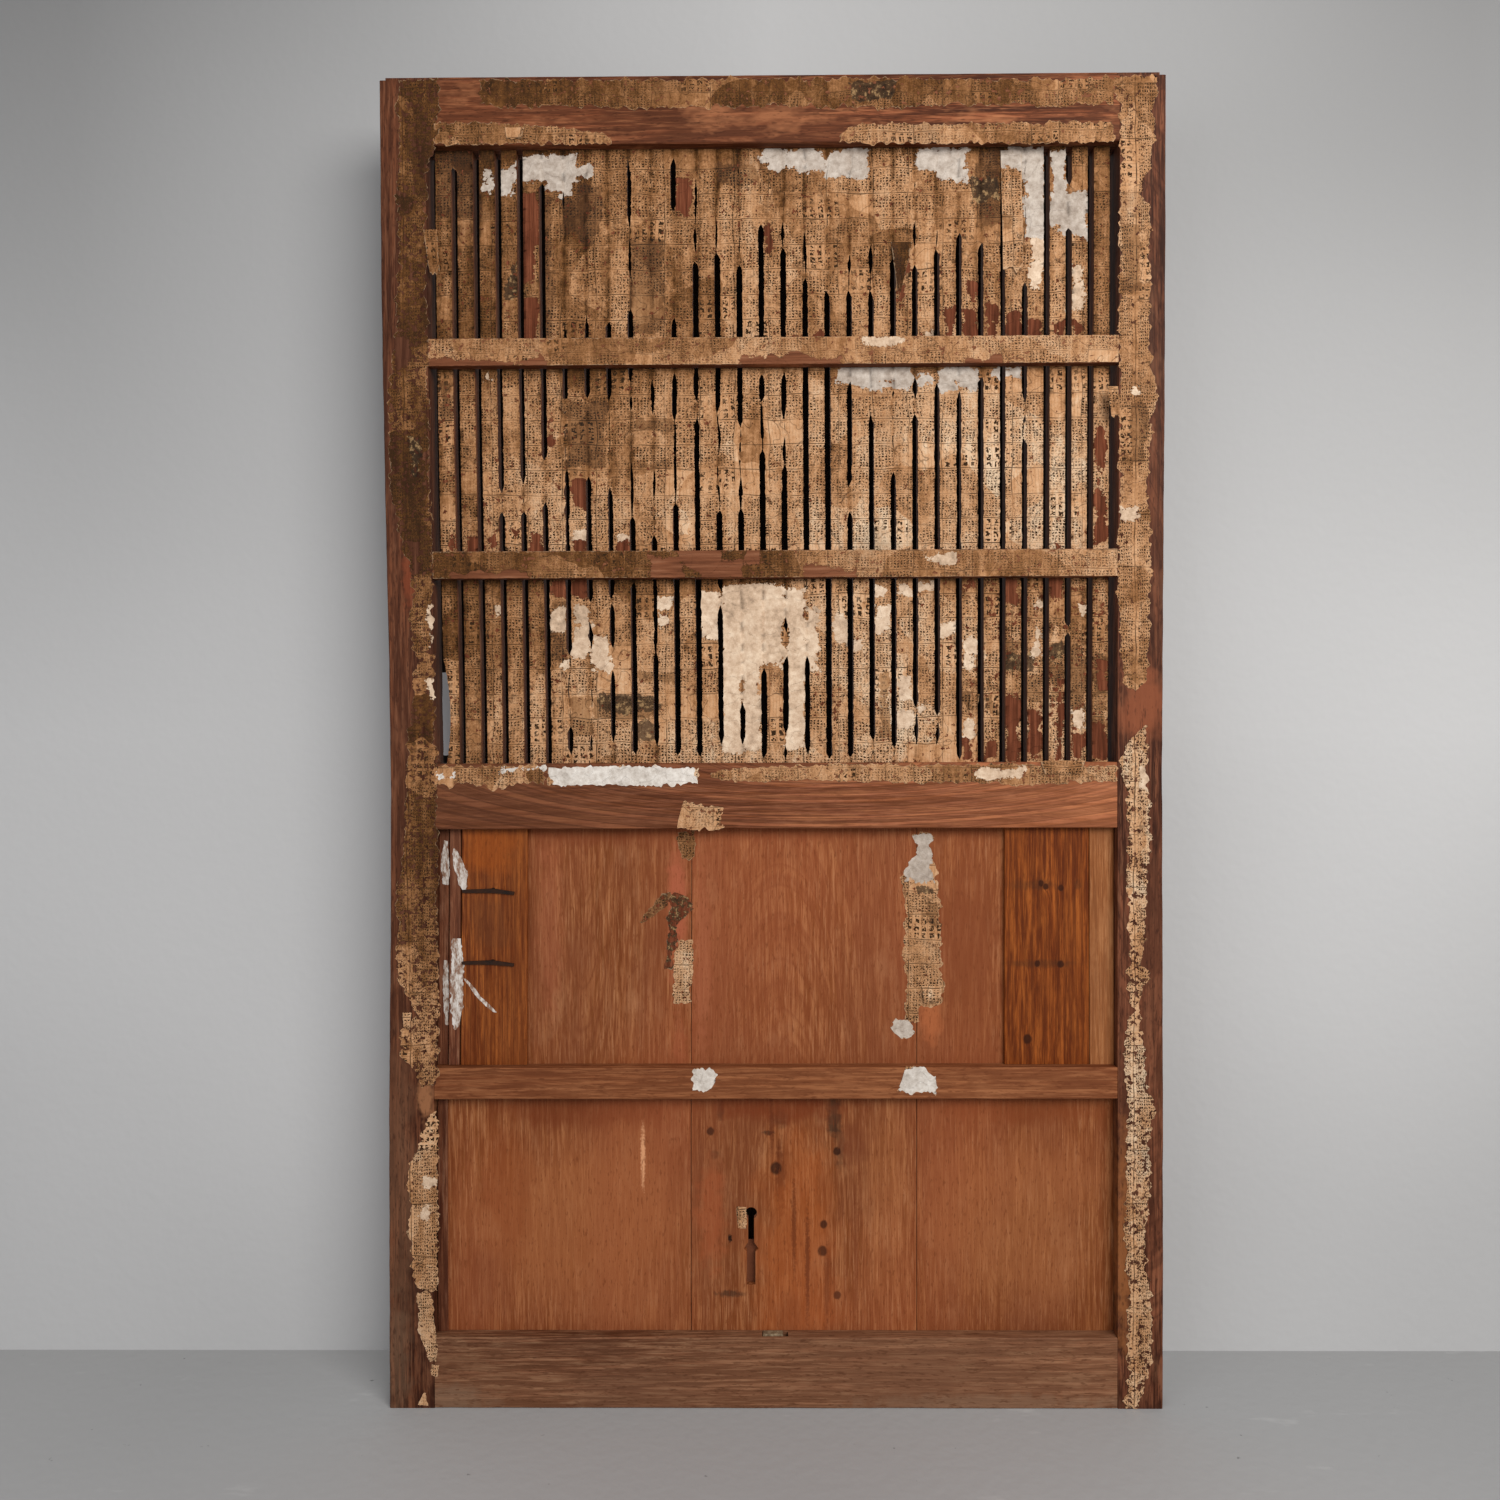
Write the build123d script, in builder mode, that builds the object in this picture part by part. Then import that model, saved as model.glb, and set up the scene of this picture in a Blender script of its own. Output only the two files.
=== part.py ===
import math
import os
from build123d import *

os.makedirs("parts", exist_ok=True)

# The leaf stands on the middle of its sill edge, +Z up, papered side towards -Y.
leaf_w = 1030.0             # 3.4 shaku
leaf_t = 39.0               # 1.3 sun
stile_w = 60.6              # 2 sun
arris = 1.2                 # worn edge along the frame and the bars
face_y = -leaf_t / 2        # papered face of the frame
back_y = leaf_t / 2
opening_w = leaf_w - 2 * stile_w
inner_x = opening_w / 2

# rails, bottom to top
bottom_rail_h = 95.0
lower_panel_h = 318.5
panel_rail_h = 42.5
upper_panel_h = 317.0
middle_rail_h = 87.0
low_bay_h = 244.0
lattice_rail_h = 36.3
mid_bay_h = 243.0
up_bay_h = 252.4
top_rail_h = 85.0

bottom_rail_z = 0.0
lower_panel_z = bottom_rail_z + bottom_rail_h
panel_rail_z = lower_panel_z + lower_panel_h
upper_panel_z = panel_rail_z + panel_rail_h
middle_rail_z = upper_panel_z + upper_panel_h
low_bay_z = middle_rail_z + middle_rail_h
low_lattice_rail_z = low_bay_z + low_bay_h
mid_bay_z = low_lattice_rail_z + lattice_rail_h
up_lattice_rail_z = mid_bay_z + mid_bay_h
up_bay_z = up_lattice_rail_z + lattice_rail_h
top_rail_z = up_bay_z + up_bay_h
leaf_h = top_rail_z + top_rail_h    # 5.8 shaku, without the head tongue

# head tongue that runs in the groove of the lintel
tongue_h = 9.0
tongue_t = 19.0
tongue_inset = 5.0

# joints
tenon_t = 13.0
tenon_len = 42.0
haunch = 14.0               # height left off each tenon, top and bottom
fit = 0.2                   # play around a tenon, board or bolt
end_play = 1.0              # room past the end of a tenon
thin_tenon_t = 7.0
thin_tenon_len = 30.0
thin_haunch = 6.0

# lattice
bar_count = 31
bar_w = 20.4
bar_d = 22.0
lattice_set = 14.0          # bars sit this far behind the papered face
bar_tenon_len = 8.0
bar_tenon_w = 12.0
bar_tenon_t = 10.0
bite_rise = 63.4            # middle of the piece broken out of the first bar, above the middle rail
bite_depth = 8.5
bite_half = 78.0
gap_w = (opening_w - bar_count * bar_w) / (bar_count + 1)
bar_pitch = bar_w + gap_w
bar_face_y = face_y + lattice_set
bar_mid_y = bar_face_y + bar_d / 2

# boards
board_set = 19.5            # boards sit this far behind the papered face
board_t = 9.5
groove_depth = 9.0
joint_left_x = -113.0
joint_right_x = 191.0
board_seam = 0.6
board_face_y = face_y + board_set
board_back_y = board_face_y + board_t
board_bottom_z = lower_panel_z - groove_depth
board_top_z = middle_rail_z + groove_depth

# strips and cedar boards laid over the boards
overlay_arris = 0.8
strip_w = 13.5
strip_t = 4.0
narrow_strip_w = 15.0
cedar_t = 6.5
cedar_gap = 1.5
cedar_left_w = 89.0
cedar_strip_w = 33.0
cedar_right_w = 113.0

# forged pull handle, its tangs split and clenched over the left cedar board
handle_rod = 7.0
handle_span = 96.0
handle_reach = 34.0
handle_bend = 9.0
handle_rise = 186.0         # middle of the handle above the panel rail
handle_from_left = 42.5     # from the left edge of the cedar board
rod_hole_play = 0.3
leg_long = 41.0
leg_short = 29.0
leg_w = 6.0
leg_end_w = 4.0
leg_t = 2.4
long_droop = 1.0            # degrees
short_droop = 7.0

# keyhole
key_x = -32.0
key_z = 253.0
key_hole_r = 8.0
key_slot_w = 8.0
key_slot_len = 40.0
arrow_w = 20.0
arrow_h = 12.0
low_slot_w = 11.3
low_slot_len = 45.0
plate_w = 62.0
plate_margin = 24.0
plate_t = 2.0
plate_play = 2.0            # the plate's opening is this much larger

# drop bolt in the sill rail
bolt_w = 27.5
bolt_t = 11.0
bolt_slot_w = 34.5
bolt_play = 0.4
bolt_from_face = 5.0
bolt_proud = 2.0
bolt_chamfer = 1.5

# pasted paper
paper_t = 0.3
frame_paper_t = 1.2         # several crumpled layers
paper_overhang = 0.8
tear_step = 14.0            # a torn edge turns about this often
tear_depth = 7.0
tear_wave = 9.0
stile_paper_w = 34.0
right_stile_paper_w = 40.0
low_left_rise = (60.0, 290.0)       # ends of the lower left sheet, above the bottom rail
right_tear_rise = (60.0, 90.0)      # bare wood of the right stile between these, above the middle rail
head_paper_h = 38.0
head_paper_start = 72.0     # from the left stile
rail_paper_h = 28.0
left_rail_paper_w = 240.0
right_rail_paper_w = 364.0
sill_paper_h = 32.0         # along the top of the middle rail
tag_w = 57.0
tag_h = 38.0
tag_lap = 14.0              # how far a tag or scrap laps over the joint to its left
scrap_w = 31.0
scrap_h = 32.0
wide_scrap_w = 47.0
joint_paper_w = 24.0
joint_paper_rise = 85.0
flap_w = 50.0
flap_rise = 76.0
joint_lap = 4.0
key_scrap_w = 11.0
key_scrap_h = 28.0


def save(piece, label):
    piece.part.label = label
    export_step(piece.part, f"parts/{label}.step")


def tenon_z(z, h):
    return z + haunch, h - 2 * haunch


def cut_box(x0, x1, y0, y1, z0, z1):
    with Locations(((x0 + x1) / 2, (y0 + y1) / 2, (z0 + z1) / 2)):
        Box(abs(x1 - x0), y1 - y0, z1 - z0, mode=Mode.SUBTRACT)


def add_box(x0, x1, y0, y1, z0, z1):
    with Locations(((x0 + x1) / 2, (y0 + y1) / 2, (z0 + z1) / 2)):
        Box(abs(x1 - x0), y1 - y0, z1 - z0)


# stiles

def cut_stile(side):
    edge = side * inner_x
    # full rails: one blind mortise each
    for z, h in ((bottom_rail_z, bottom_rail_h), (middle_rail_z, middle_rail_h), (top_rail_z, top_rail_h)):
        tz, th = tenon_z(z, h)
        end = edge + side * (tenon_len + end_play)
        cut_box(edge, end, -tenon_t / 2 - fit, tenon_t / 2 + fit, tz - fit, tz + th + fit)
    # rails that lie on the papered side only
    for z, h, depth in (
        (panel_rail_z, panel_rail_h, board_set),
        (low_lattice_rail_z, lattice_rail_h, lattice_set),
        (up_lattice_rail_z, lattice_rail_h, lattice_set),
    ):
        mid = face_y + depth / 2
        end = edge + side * (thin_tenon_len + end_play)
        cut_box(
            edge,
            end,
            mid - thin_tenon_t / 2 - fit,
            mid + thin_tenon_t / 2 + fit,
            z + thin_haunch - fit,
            z + h - thin_haunch + fit,
        )
    # groove for the boards
    end = edge + side * (groove_depth + end_play)
    cut_box(edge, end, board_face_y - fit, board_back_y + fit, board_bottom_z - fit, board_top_z + fit)


for side, label in ((-1, "left_stile"), (1, "right_stile")):
    with BuildPart() as stile:
        with BuildSketch() as section:
            with Locations((side * (inner_x + stile_w / 2), 0)):
                Rectangle(stile_w, leaf_t)
            outer = section.vertices().sort_by(Axis.X, reverse=side > 0)[:2]
            chamfer(outer, arris)
        extrude(amount=leaf_h)
        tongue_end = leaf_w / 2 - tongue_inset
        add_box(side * inner_x, side * tongue_end, -tongue_t / 2, tongue_t / 2, leaf_h, leaf_h + tongue_h)
        cut_stile(side)
    save(stile, label)


# rails: each is one section run from stile to stile, with its tenons

def bar_x(i):
    return -inner_x + gap_w + bar_w / 2 + i * bar_pitch


def add_tenons(z, h):
    tz, th = tenon_z(z, h)
    for side in (-1, 1):
        edge = side * inner_x
        add_box(edge, edge + side * tenon_len, -tenon_t / 2, tenon_t / 2, tz, tz + th)


def add_thin_tenons(z, h, depth):
    mid = face_y + depth / 2
    for side in (-1, 1):
        edge = side * inner_x
        add_box(
            edge,
            edge + side * thin_tenon_len,
            mid - thin_tenon_t / 2,
            mid + thin_tenon_t / 2,
            z + thin_haunch,
            z + h - thin_haunch,
        )


def cut_bar_mortises(z0, z1):
    for i in range(bar_count):
        half = bar_tenon_w / 2 + fit
        cut_box(
            bar_x(i) - half,
            bar_x(i) + half,
            bar_mid_y - bar_tenon_t / 2 - fit,
            bar_mid_y + bar_tenon_t / 2 + fit,
            z0,
            z1,
        )


section_plane = Plane.YZ.offset(-inner_x)

with BuildPart() as top_rail:
    with BuildSketch(section_plane) as section:
        with Locations((0, top_rail_z + top_rail_h / 2)):
            Rectangle(leaf_t, top_rail_h)
        chamfer(section.vertices().group_by(Axis.Z)[0], arris)
        with Locations((0, leaf_h + tongue_h / 2)):
            Rectangle(tongue_t, tongue_h)
    extrude(amount=opening_w)
    add_tenons(top_rail_z, top_rail_h)
    cut_bar_mortises(top_rail_z, top_rail_z + bar_tenon_len + end_play)
save(top_rail, "top_rail")

with BuildPart() as middle_rail:
    with BuildSketch(section_plane) as section:
        with Locations((0, middle_rail_z + middle_rail_h / 2)):
            Rectangle(leaf_t, middle_rail_h)
        chamfer(section.vertices(), arris)
        with Locations(((board_face_y + board_back_y) / 2, middle_rail_z + groove_depth / 2)):
            Rectangle(board_t + 2 * fit, groove_depth + 2 * fit, mode=Mode.SUBTRACT)
    extrude(amount=opening_w)
    add_tenons(middle_rail_z, middle_rail_h)
    cut_bar_mortises(low_bay_z - bar_tenon_len - end_play, low_bay_z)
save(middle_rail, "middle_rail")

bolt_y0 = face_y + bolt_from_face
bolt_x0 = -bolt_slot_w / 2 + bolt_play

with BuildPart() as bottom_rail:
    with BuildSketch(section_plane) as section:
        with Locations((0, bottom_rail_z + bottom_rail_h / 2)):
            Rectangle(leaf_t, bottom_rail_h)
        chamfer(section.vertices().group_by(Axis.Z)[-1], arris)
        with Locations(((board_face_y + board_back_y) / 2, lower_panel_z - groove_depth / 2)):
            Rectangle(board_t + 2 * fit, groove_depth, mode=Mode.SUBTRACT)
    extrude(amount=opening_w)
    add_tenons(bottom_rail_z, bottom_rail_h)
    cut_box(
        -bolt_slot_w / 2,
        bolt_slot_w / 2,
        bolt_y0 - bolt_play,
        bolt_y0 + bolt_t + bolt_play,
        bottom_rail_z,
        lower_panel_z,
    )
save(bottom_rail, "bottom_rail")

for label, z, h, depth in (
    ("panel_rail", panel_rail_z, panel_rail_h, board_set),
    ("lattice_rail_lower", low_lattice_rail_z, lattice_rail_h, lattice_set),
    ("lattice_rail_upper", up_lattice_rail_z, lattice_rail_h, lattice_set),
):
    with BuildPart() as thin_rail:
        with BuildSketch(section_plane) as section:
            with Locations((face_y + depth / 2, z + h / 2)):
                Rectangle(depth, h)
            chamfer(section.vertices().group_by(Axis.Y)[0], arris)
        extrude(amount=opening_w)
        add_thin_tenons(z, h, depth)
    save(thin_rail, label)


# lattice bars, each one length of wood from the middle rail to the top rail
bite_z = low_bay_z + bite_rise
bite_r = (bite_half ** 2 + bite_depth ** 2) / (2 * bite_depth)
bite_x = bar_x(0) - bar_w / 2 + bite_depth - bite_r
bar_len = top_rail_z - low_bay_z

for i in range(bar_count):
    with BuildPart() as bar:
        with BuildSketch(Plane.XY.offset(low_bay_z)) as section:
            with Locations((bar_x(i), bar_mid_y)):
                Rectangle(bar_w, bar_d)
            chamfer(section.vertices(), arris)
        extrude(amount=bar_len)
        with BuildSketch(Plane.XY.offset(low_bay_z - bar_tenon_len)):
            with Locations((bar_x(i), bar_mid_y)):
                Rectangle(bar_tenon_w, bar_tenon_t)
        extrude(amount=bar_len + 2 * bar_tenon_len)
        if i == 0:
            with Locations((bite_x, bar_mid_y, bite_z)):
                Cylinder(bite_r, 2 * bar_d, rotation=(90, 0, 0), mode=Mode.SUBTRACT)
    save(bar, f"lattice_bar_{i + 1:02d}")


# boards behind the panel rail, housed in grooves all round
narrow_x = -inner_x + strip_w + cedar_gap
cedar_x = narrow_x + narrow_strip_w + cedar_gap
cedar_face_y = board_face_y - cedar_t
rod_x = cedar_x + handle_from_left
handle_mid_z = upper_panel_z + handle_rise
rod_zs = (handle_mid_z - handle_span / 2, handle_mid_z + handle_span / 2)
arrow_z = key_z - key_slot_len
low_slot_z = arrow_z - arrow_h


def board_face(x0, x1):
    with Locations(((x0 + x1) / 2, (board_bottom_z + board_top_z) / 2)):
        Rectangle(x1 - x0, board_top_z - board_bottom_z)


def rod_circles():
    for z in rod_zs:
        with Locations((rod_x, z)):
            Circle(handle_rod / 2 + rod_hole_play, mode=Mode.SUBTRACT)


def keyhole(play):
    with Locations((key_x, key_z)):
        Circle(key_hole_r + play, mode=Mode.SUBTRACT)
    with Locations((key_x, key_z - key_slot_len / 2)):
        Rectangle(key_slot_w + 2 * play, key_slot_len, mode=Mode.SUBTRACT)


with BuildPart() as board_left:
    with BuildSketch(Plane.XZ.offset(-board_back_y)):
        board_face(-inner_x - groove_depth, joint_left_x - board_seam / 2)
        rod_circles()
    extrude(amount=board_t)
save(board_left, "board_left")

with BuildPart() as board_centre:
    with BuildSketch(Plane.XZ.offset(-board_back_y)):
        board_face(joint_left_x + board_seam / 2, joint_right_x - board_seam / 2)
        keyhole(0)
        arrow = [
            (key_x, arrow_z + arrow_h / 2),
            (key_x + arrow_w / 2, low_slot_z + arrow_h / 3),
            (key_x + low_slot_w / 2, low_slot_z),
            (key_x - low_slot_w / 2, low_slot_z),
            (key_x - arrow_w / 2, low_slot_z + arrow_h / 3),
        ]
        Polygon(arrow, align=None, mode=Mode.SUBTRACT)
        with Locations((key_x, low_slot_z - low_slot_len / 2)):
            Rectangle(low_slot_w, low_slot_len, mode=Mode.SUBTRACT)
    extrude(amount=board_t)
save(board_centre, "board_centre")

with BuildPart() as board_right:
    with BuildSketch(Plane.XZ.offset(-board_back_y)):
        board_face(joint_right_x + board_seam / 2, inner_x + groove_depth)
    extrude(amount=board_t)
save(board_right, "board_right")


# strips and cedar boards laid on the boards, from their plan section
cedar_strip_x = inner_x - cedar_strip_w
cedar_right_x = cedar_strip_x - board_seam - cedar_right_w

for label, x, w, t, z, h in (
    ("edge_strip_lower", -inner_x, strip_w, strip_t, lower_panel_z, lower_panel_h),
    ("edge_strip_upper", -inner_x, strip_w, strip_t, upper_panel_z, upper_panel_h),
    ("narrow_strip", narrow_x, narrow_strip_w, cedar_t, upper_panel_z, upper_panel_h),
    ("cedar_board_left", cedar_x, cedar_left_w, cedar_t, upper_panel_z, upper_panel_h),
    ("cedar_board_right", cedar_right_x, cedar_right_w, cedar_t, upper_panel_z, upper_panel_h),
    ("cedar_strip_right", cedar_strip_x, cedar_strip_w, cedar_t, upper_panel_z, upper_panel_h),
):
    with BuildPart() as overlay:
        with BuildSketch(Plane.XY.offset(z)) as section:
            with Locations((x + w / 2, board_face_y - t / 2)):
                Rectangle(w, t)
            chamfer(section.vertices().group_by(Axis.Y)[0], overlay_arris)
        extrude(amount=h)
        if label == "cedar_board_left":
            for rod_z in rod_zs:
                with Locations((rod_x, board_face_y, rod_z)):
                    Cylinder(
                        handle_rod / 2 + rod_hole_play, 4 * cedar_t,
                        rotation=(90, 0, 0), mode=Mode.SUBTRACT,
                    )
    save(overlay, label)


# pull handle: a bent rod whose ends pass through both boards and are split and clenched
with BuildPart() as pull_handle:
    reach_y = board_back_y + handle_reach
    low_z, high_z = rod_zs
    with BuildLine() as bow:
        FilletPolyline(
            (rod_x, cedar_face_y, low_z),
            (rod_x, reach_y, low_z),
            (rod_x, reach_y, high_z),
            (rod_x, cedar_face_y, high_z),
            radius=handle_bend,
        )
    with BuildSketch(Plane(origin=(rod_x, cedar_face_y, low_z), z_dir=(0, 1, 0))):
        Circle(handle_rod / 2)
    sweep(path=bow.line)
    for z in rod_zs:
        for side, length, droop in ((-1, leg_long, long_droop), (1, leg_short, short_droop)):
            outline = [
                (0, -leg_w / 2),
                (side * length, -leg_end_w / 2),
                (side * length, leg_end_w / 2),
                (0, leg_w / 2),
            ]
            with BuildSketch(Plane.XZ.offset(-cedar_face_y)):
                with Locations((rod_x, z)):
                    Polygon(outline, rotation=-side * droop, align=None)
            extrude(amount=leg_t)
save(pull_handle, "pull_handle")

# iron plate over the keyhole on the far side
plate_top = key_z + key_hole_r + plate_margin
plate_bottom = low_slot_z - low_slot_len - plate_margin / 2
with BuildPart() as keyhole_plate:
    with BuildSketch(Plane.XZ.offset(-board_back_y - plate_t)):
        with Locations((key_x, (plate_top + plate_bottom) / 2)):
            Rectangle(plate_w, plate_top - plate_bottom)
        keyhole(plate_play)
    extrude(amount=plate_t)
save(keyhole_plate, "keyhole_plate")

# drop bolt
with BuildPart() as drop_bolt:
    with BuildSketch(Plane.XY.offset(bottom_rail_z)):
        with Locations((bolt_x0 + bolt_w / 2, bolt_y0 + bolt_t / 2)):
            Rectangle(bolt_w, bolt_t)
    extrude(amount=bottom_rail_h + bolt_proud)
    chamfer(drop_bolt.edges().group_by(Axis.Z)[-1], bolt_chamfer)
save(drop_bolt, "drop_bolt")


# torn remains of pasted newspaper on the lattice, listed by hand as (gap, top, bottom)
# where the sheet still spans the gap after that bar, in mm down from the top of a bay
# of the height that comes with the list
upper_spans = [
    (1, 0, 23), (5, 0, 45), (6, 0, 54), (6, 81, 228), (7, 0, 217), (8, 0, 226), (9, 104, 116),
    (9, 173, 210), (10, 0, 248), (11, 82, 221), (12, 0, 35), (13, 0, 87), (14, 0, 120), (15, 0, 99),
    (16, 0, 96), (17, 0, 107), (18, 0, 187), (19, 0, 139), (20, 0, 126), (21, 0, 146), (22, 0, 94),
    (23, 0, 134), (24, 0, 112), (25, 0, 125), (27, 0, 178), (29, 51, 107),
]
middle_spans = [
    (3, 163, 191), (4, 152, 190), (5, 120, 176), (6, 60, 131), (7, 39, 142), (8, 43, 156),
    (9, 18, 35), (10, 62, 131), (14, 91, 155), (16, 81, 98), (19, 0, 18), (19, 159, 190),
    (20, 0, 36), (21, 0, 138), (22, 0, 13), (22, 42, 64), (23, 0, 21), (24, 0, 31), (25, 0, 13),
    (27, 47, 96),
]
lower_spans = [
    (0, 24, 71), (6, 114, 195), (6, 232, 244), (7, 30, 54), (7, 93, 205), (7, 231, 244),
    (8, 92, 122), (8, 217, 244), (9, 233, 244), (10, 222, 244), (11, 234, 244), (12, 236, 244),
    (13, 17, 35), (13, 220, 244), (14, 0, 163), (14, 220, 244), (15, 0, 118), (16, 0, 51),
    (16, 71, 102), (17, 19, 102), (17, 234, 244), (19, 237, 244), (20, 230, 244), (21, 236, 244),
    (22, 223, 244), (23, 207, 244),
]

for label, z, h, listed_h, spans in (
    ("paper_upper_bay", up_bay_z, up_bay_h, 252.4, upper_spans),
    ("paper_middle_bay", mid_bay_z, mid_bay_h, 243.0, middle_spans),
    ("paper_lower_bay", low_bay_z, low_bay_h, 244.0, lower_spans),
):
    with BuildPart() as bay_sheet:
        with BuildSketch(Plane.XZ.offset(-bar_face_y)):
            for i in range(bar_count):
                with Locations((bar_x(i), z + h / 2)):
                    Rectangle(bar_w + 2 * paper_overhang, h)
            for gap, top, bottom in spans:
                span_top = z + h - top * h / listed_h
                span_h = (bottom - top) * h / listed_h
                with Locations((bar_x(gap - 1) + bar_pitch / 2, span_top - span_h / 2)):
                    Rectangle(gap_w, span_h)
            if label == "paper_lower_bay":
                with Locations((bite_x, bite_z)):
                    Circle(bite_r, mode=Mode.SUBTRACT)
        extrude(amount=paper_t)
    save(bay_sheet, label)


# newspaper on the frame and down the board joints, with some of its edges torn

def wobble(s):
    return 0.5 + 0.3 * math.sin(s / tear_wave) + 0.2 * math.sin(2.7 * s / tear_wave + 1)


def torn_sheet(x0, x1, z0, z1, torn_sides):
    corners = [(x0, z0), (x1, z0), (x1, z1), (x0, z1)]
    inward = {"low": (0, 1), "right": (-1, 0), "top": (0, -1), "left": (1, 0)}
    points = []
    for k, (name, (in_x, in_z)) in enumerate(inward.items()):
        start = corners[k]
        end = corners[(k + 1) % 4]
        points.append(start)
        if name not in torn_sides:
            continue
        length = math.dist(start, end)
        count = int(length / tear_step)
        for j in range(1, count):
            share = j / count
            depth = tear_depth * wobble(share * length)
            x = start[0] + (end[0] - start[0]) * share + in_x * depth
            z = start[1] + (end[1] - start[1]) * share + in_z * depth
            points.append((x, z))
    Polygon(points, align=None)


left_paper_x = -inner_x - stile_paper_w
right_paper_x = inner_x + right_stile_paper_w
low_left_z0, low_left_z1 = (lower_panel_z + rise for rise in low_left_rise)
right_tear_z0, right_tear_z1 = (low_bay_z + rise for rise in right_tear_rise)
rail_paper_z = top_rail_z + rail_paper_h
scrap_z = upper_panel_z - scrap_h
tag_x = joint_left_x - tag_lap
wide_scrap_x = joint_right_x - tag_lap - joint_lap
key_scrap_x = key_x - key_hole_r - joint_lap

with BuildPart() as paper_frame:
    with BuildSketch(Plane.XZ.offset(-face_y)):
        # stiles
        torn_sheet(left_paper_x, -inner_x, panel_rail_z + panel_rail_h / 2, leaf_h, ("left",))
        torn_sheet(left_paper_x, -inner_x, low_left_z0, low_left_z1, ("left", "right"))
        torn_sheet(inner_x, right_paper_x, right_tear_z1, leaf_h, ("right",))
        torn_sheet(inner_x, right_paper_x, arris, right_tear_z0, ("left", "right", "top"))
        # top rail
        torn_sheet(-inner_x + head_paper_start, inner_x, leaf_h - head_paper_h, leaf_h, ("left", "low"))
        torn_sheet(-inner_x, -inner_x + left_rail_paper_w, top_rail_z, rail_paper_z, ("right", "top"))
        torn_sheet(inner_x - right_rail_paper_w, inner_x, top_rail_z, rail_paper_z, ("left", "top"))
        # lattice rails and middle rail
        for z in (low_lattice_rail_z, up_lattice_rail_z):
            torn_sheet(-inner_x, inner_x, z, z + lattice_rail_h, ())
        torn_sheet(-inner_x, inner_x, low_bay_z - sill_paper_h, low_bay_z, ("low",))
        # scraps at the board joints
        torn_sheet(tag_x, tag_x + tag_w, middle_rail_z, middle_rail_z + tag_h, ())
        torn_sheet(joint_left_x, joint_left_x + scrap_w, scrap_z, upper_panel_z, ("low",))
        torn_sheet(wide_scrap_x, wide_scrap_x + wide_scrap_w, scrap_z, upper_panel_z, ("low",))
    extrude(amount=frame_paper_t)
save(paper_frame, "paper_frame")

with BuildPart() as paper_panels:
    with BuildSketch(Plane.XZ.offset(-board_face_y)):
        joint_end = joint_left_x + joint_lap
        joint_z = upper_panel_z + joint_paper_rise
        torn_sheet(joint_end - joint_paper_w, joint_end, joint_z, middle_rail_z, ("left",))
        flap_x = joint_right_x - tag_lap - joint_lap
        torn_sheet(flap_x, flap_x + flap_w, upper_panel_z + flap_rise, middle_rail_z, ("left", "right"))
        key_scrap_z = key_z + key_hole_r - key_scrap_h
        torn_sheet(key_scrap_x - key_scrap_w, key_scrap_x, key_scrap_z, key_scrap_z + key_scrap_h, ())
    extrude(amount=paper_t)
save(paper_panels, "paper_panels")
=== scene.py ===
import math

import bmesh
import bpy
from mathutils import Matrix, Vector, noise


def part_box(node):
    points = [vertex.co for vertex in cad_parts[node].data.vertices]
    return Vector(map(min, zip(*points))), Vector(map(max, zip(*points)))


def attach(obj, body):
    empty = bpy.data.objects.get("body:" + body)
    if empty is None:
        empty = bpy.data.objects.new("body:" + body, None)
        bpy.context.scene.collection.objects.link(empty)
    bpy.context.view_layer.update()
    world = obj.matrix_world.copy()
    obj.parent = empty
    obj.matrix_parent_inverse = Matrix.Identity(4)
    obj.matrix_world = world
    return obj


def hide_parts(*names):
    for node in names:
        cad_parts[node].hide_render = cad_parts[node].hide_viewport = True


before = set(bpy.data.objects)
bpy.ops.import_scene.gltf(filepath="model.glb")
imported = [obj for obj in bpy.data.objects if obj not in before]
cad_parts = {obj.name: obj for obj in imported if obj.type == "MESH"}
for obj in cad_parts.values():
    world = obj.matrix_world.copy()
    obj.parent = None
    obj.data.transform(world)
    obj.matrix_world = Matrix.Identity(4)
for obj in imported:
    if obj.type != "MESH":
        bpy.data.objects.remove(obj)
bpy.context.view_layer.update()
mm = 0.001

# places taken from the solids, in metres
barCount = 31
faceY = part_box("left_stile")[0].y
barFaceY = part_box("lattice_bar_02")[0].y
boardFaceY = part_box("board_left")[0].y
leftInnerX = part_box("left_stile")[1].x
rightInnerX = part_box("right_stile")[0].x
bars = [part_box(f"lattice_bar_{i + 1:02d}") for i in range(barCount)]
bays = {
    "upper": (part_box("lattice_rail_upper")[1].z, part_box("top_rail")[0].z),
    "middle": (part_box("lattice_rail_lower")[1].z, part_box("lattice_rail_upper")[0].z),
    "lower": (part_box("middle_rail")[1].z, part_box("lattice_rail_lower")[0].z),
}


# small helpers

# steady noise from -1 to 1, its lumps about size across, in the same units as the place
def rough(x, y, z, size):
    return noise.noise(Vector((x, y, z)) / size)


def linear(hexColour):
    channels = [int(hexColour[i:i + 2], 16) / 255 for i in (1, 3, 5)]
    return [c / 12.92 if c <= 0.04045 else ((c + 0.055) / 1.055) ** 2.4 for c in channels] + [1.0]


def addNode(tree, kind, inputs=None, **settings):
    node = tree.nodes.new(kind)
    for name, value in settings.items():
        setattr(node, name, value)
    for name, value in (inputs or {}).items():
        socket = node.inputs[name]
        if isinstance(value, bpy.types.NodeSocket):
            tree.links.new(value, socket)
        else:
            socket.default_value = value
    return node


def newMaterial(name):
    material = bpy.data.materials.new(name)
    material.use_nodes = True
    material.node_tree.nodes.clear()
    return material, material.node_tree


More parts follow.
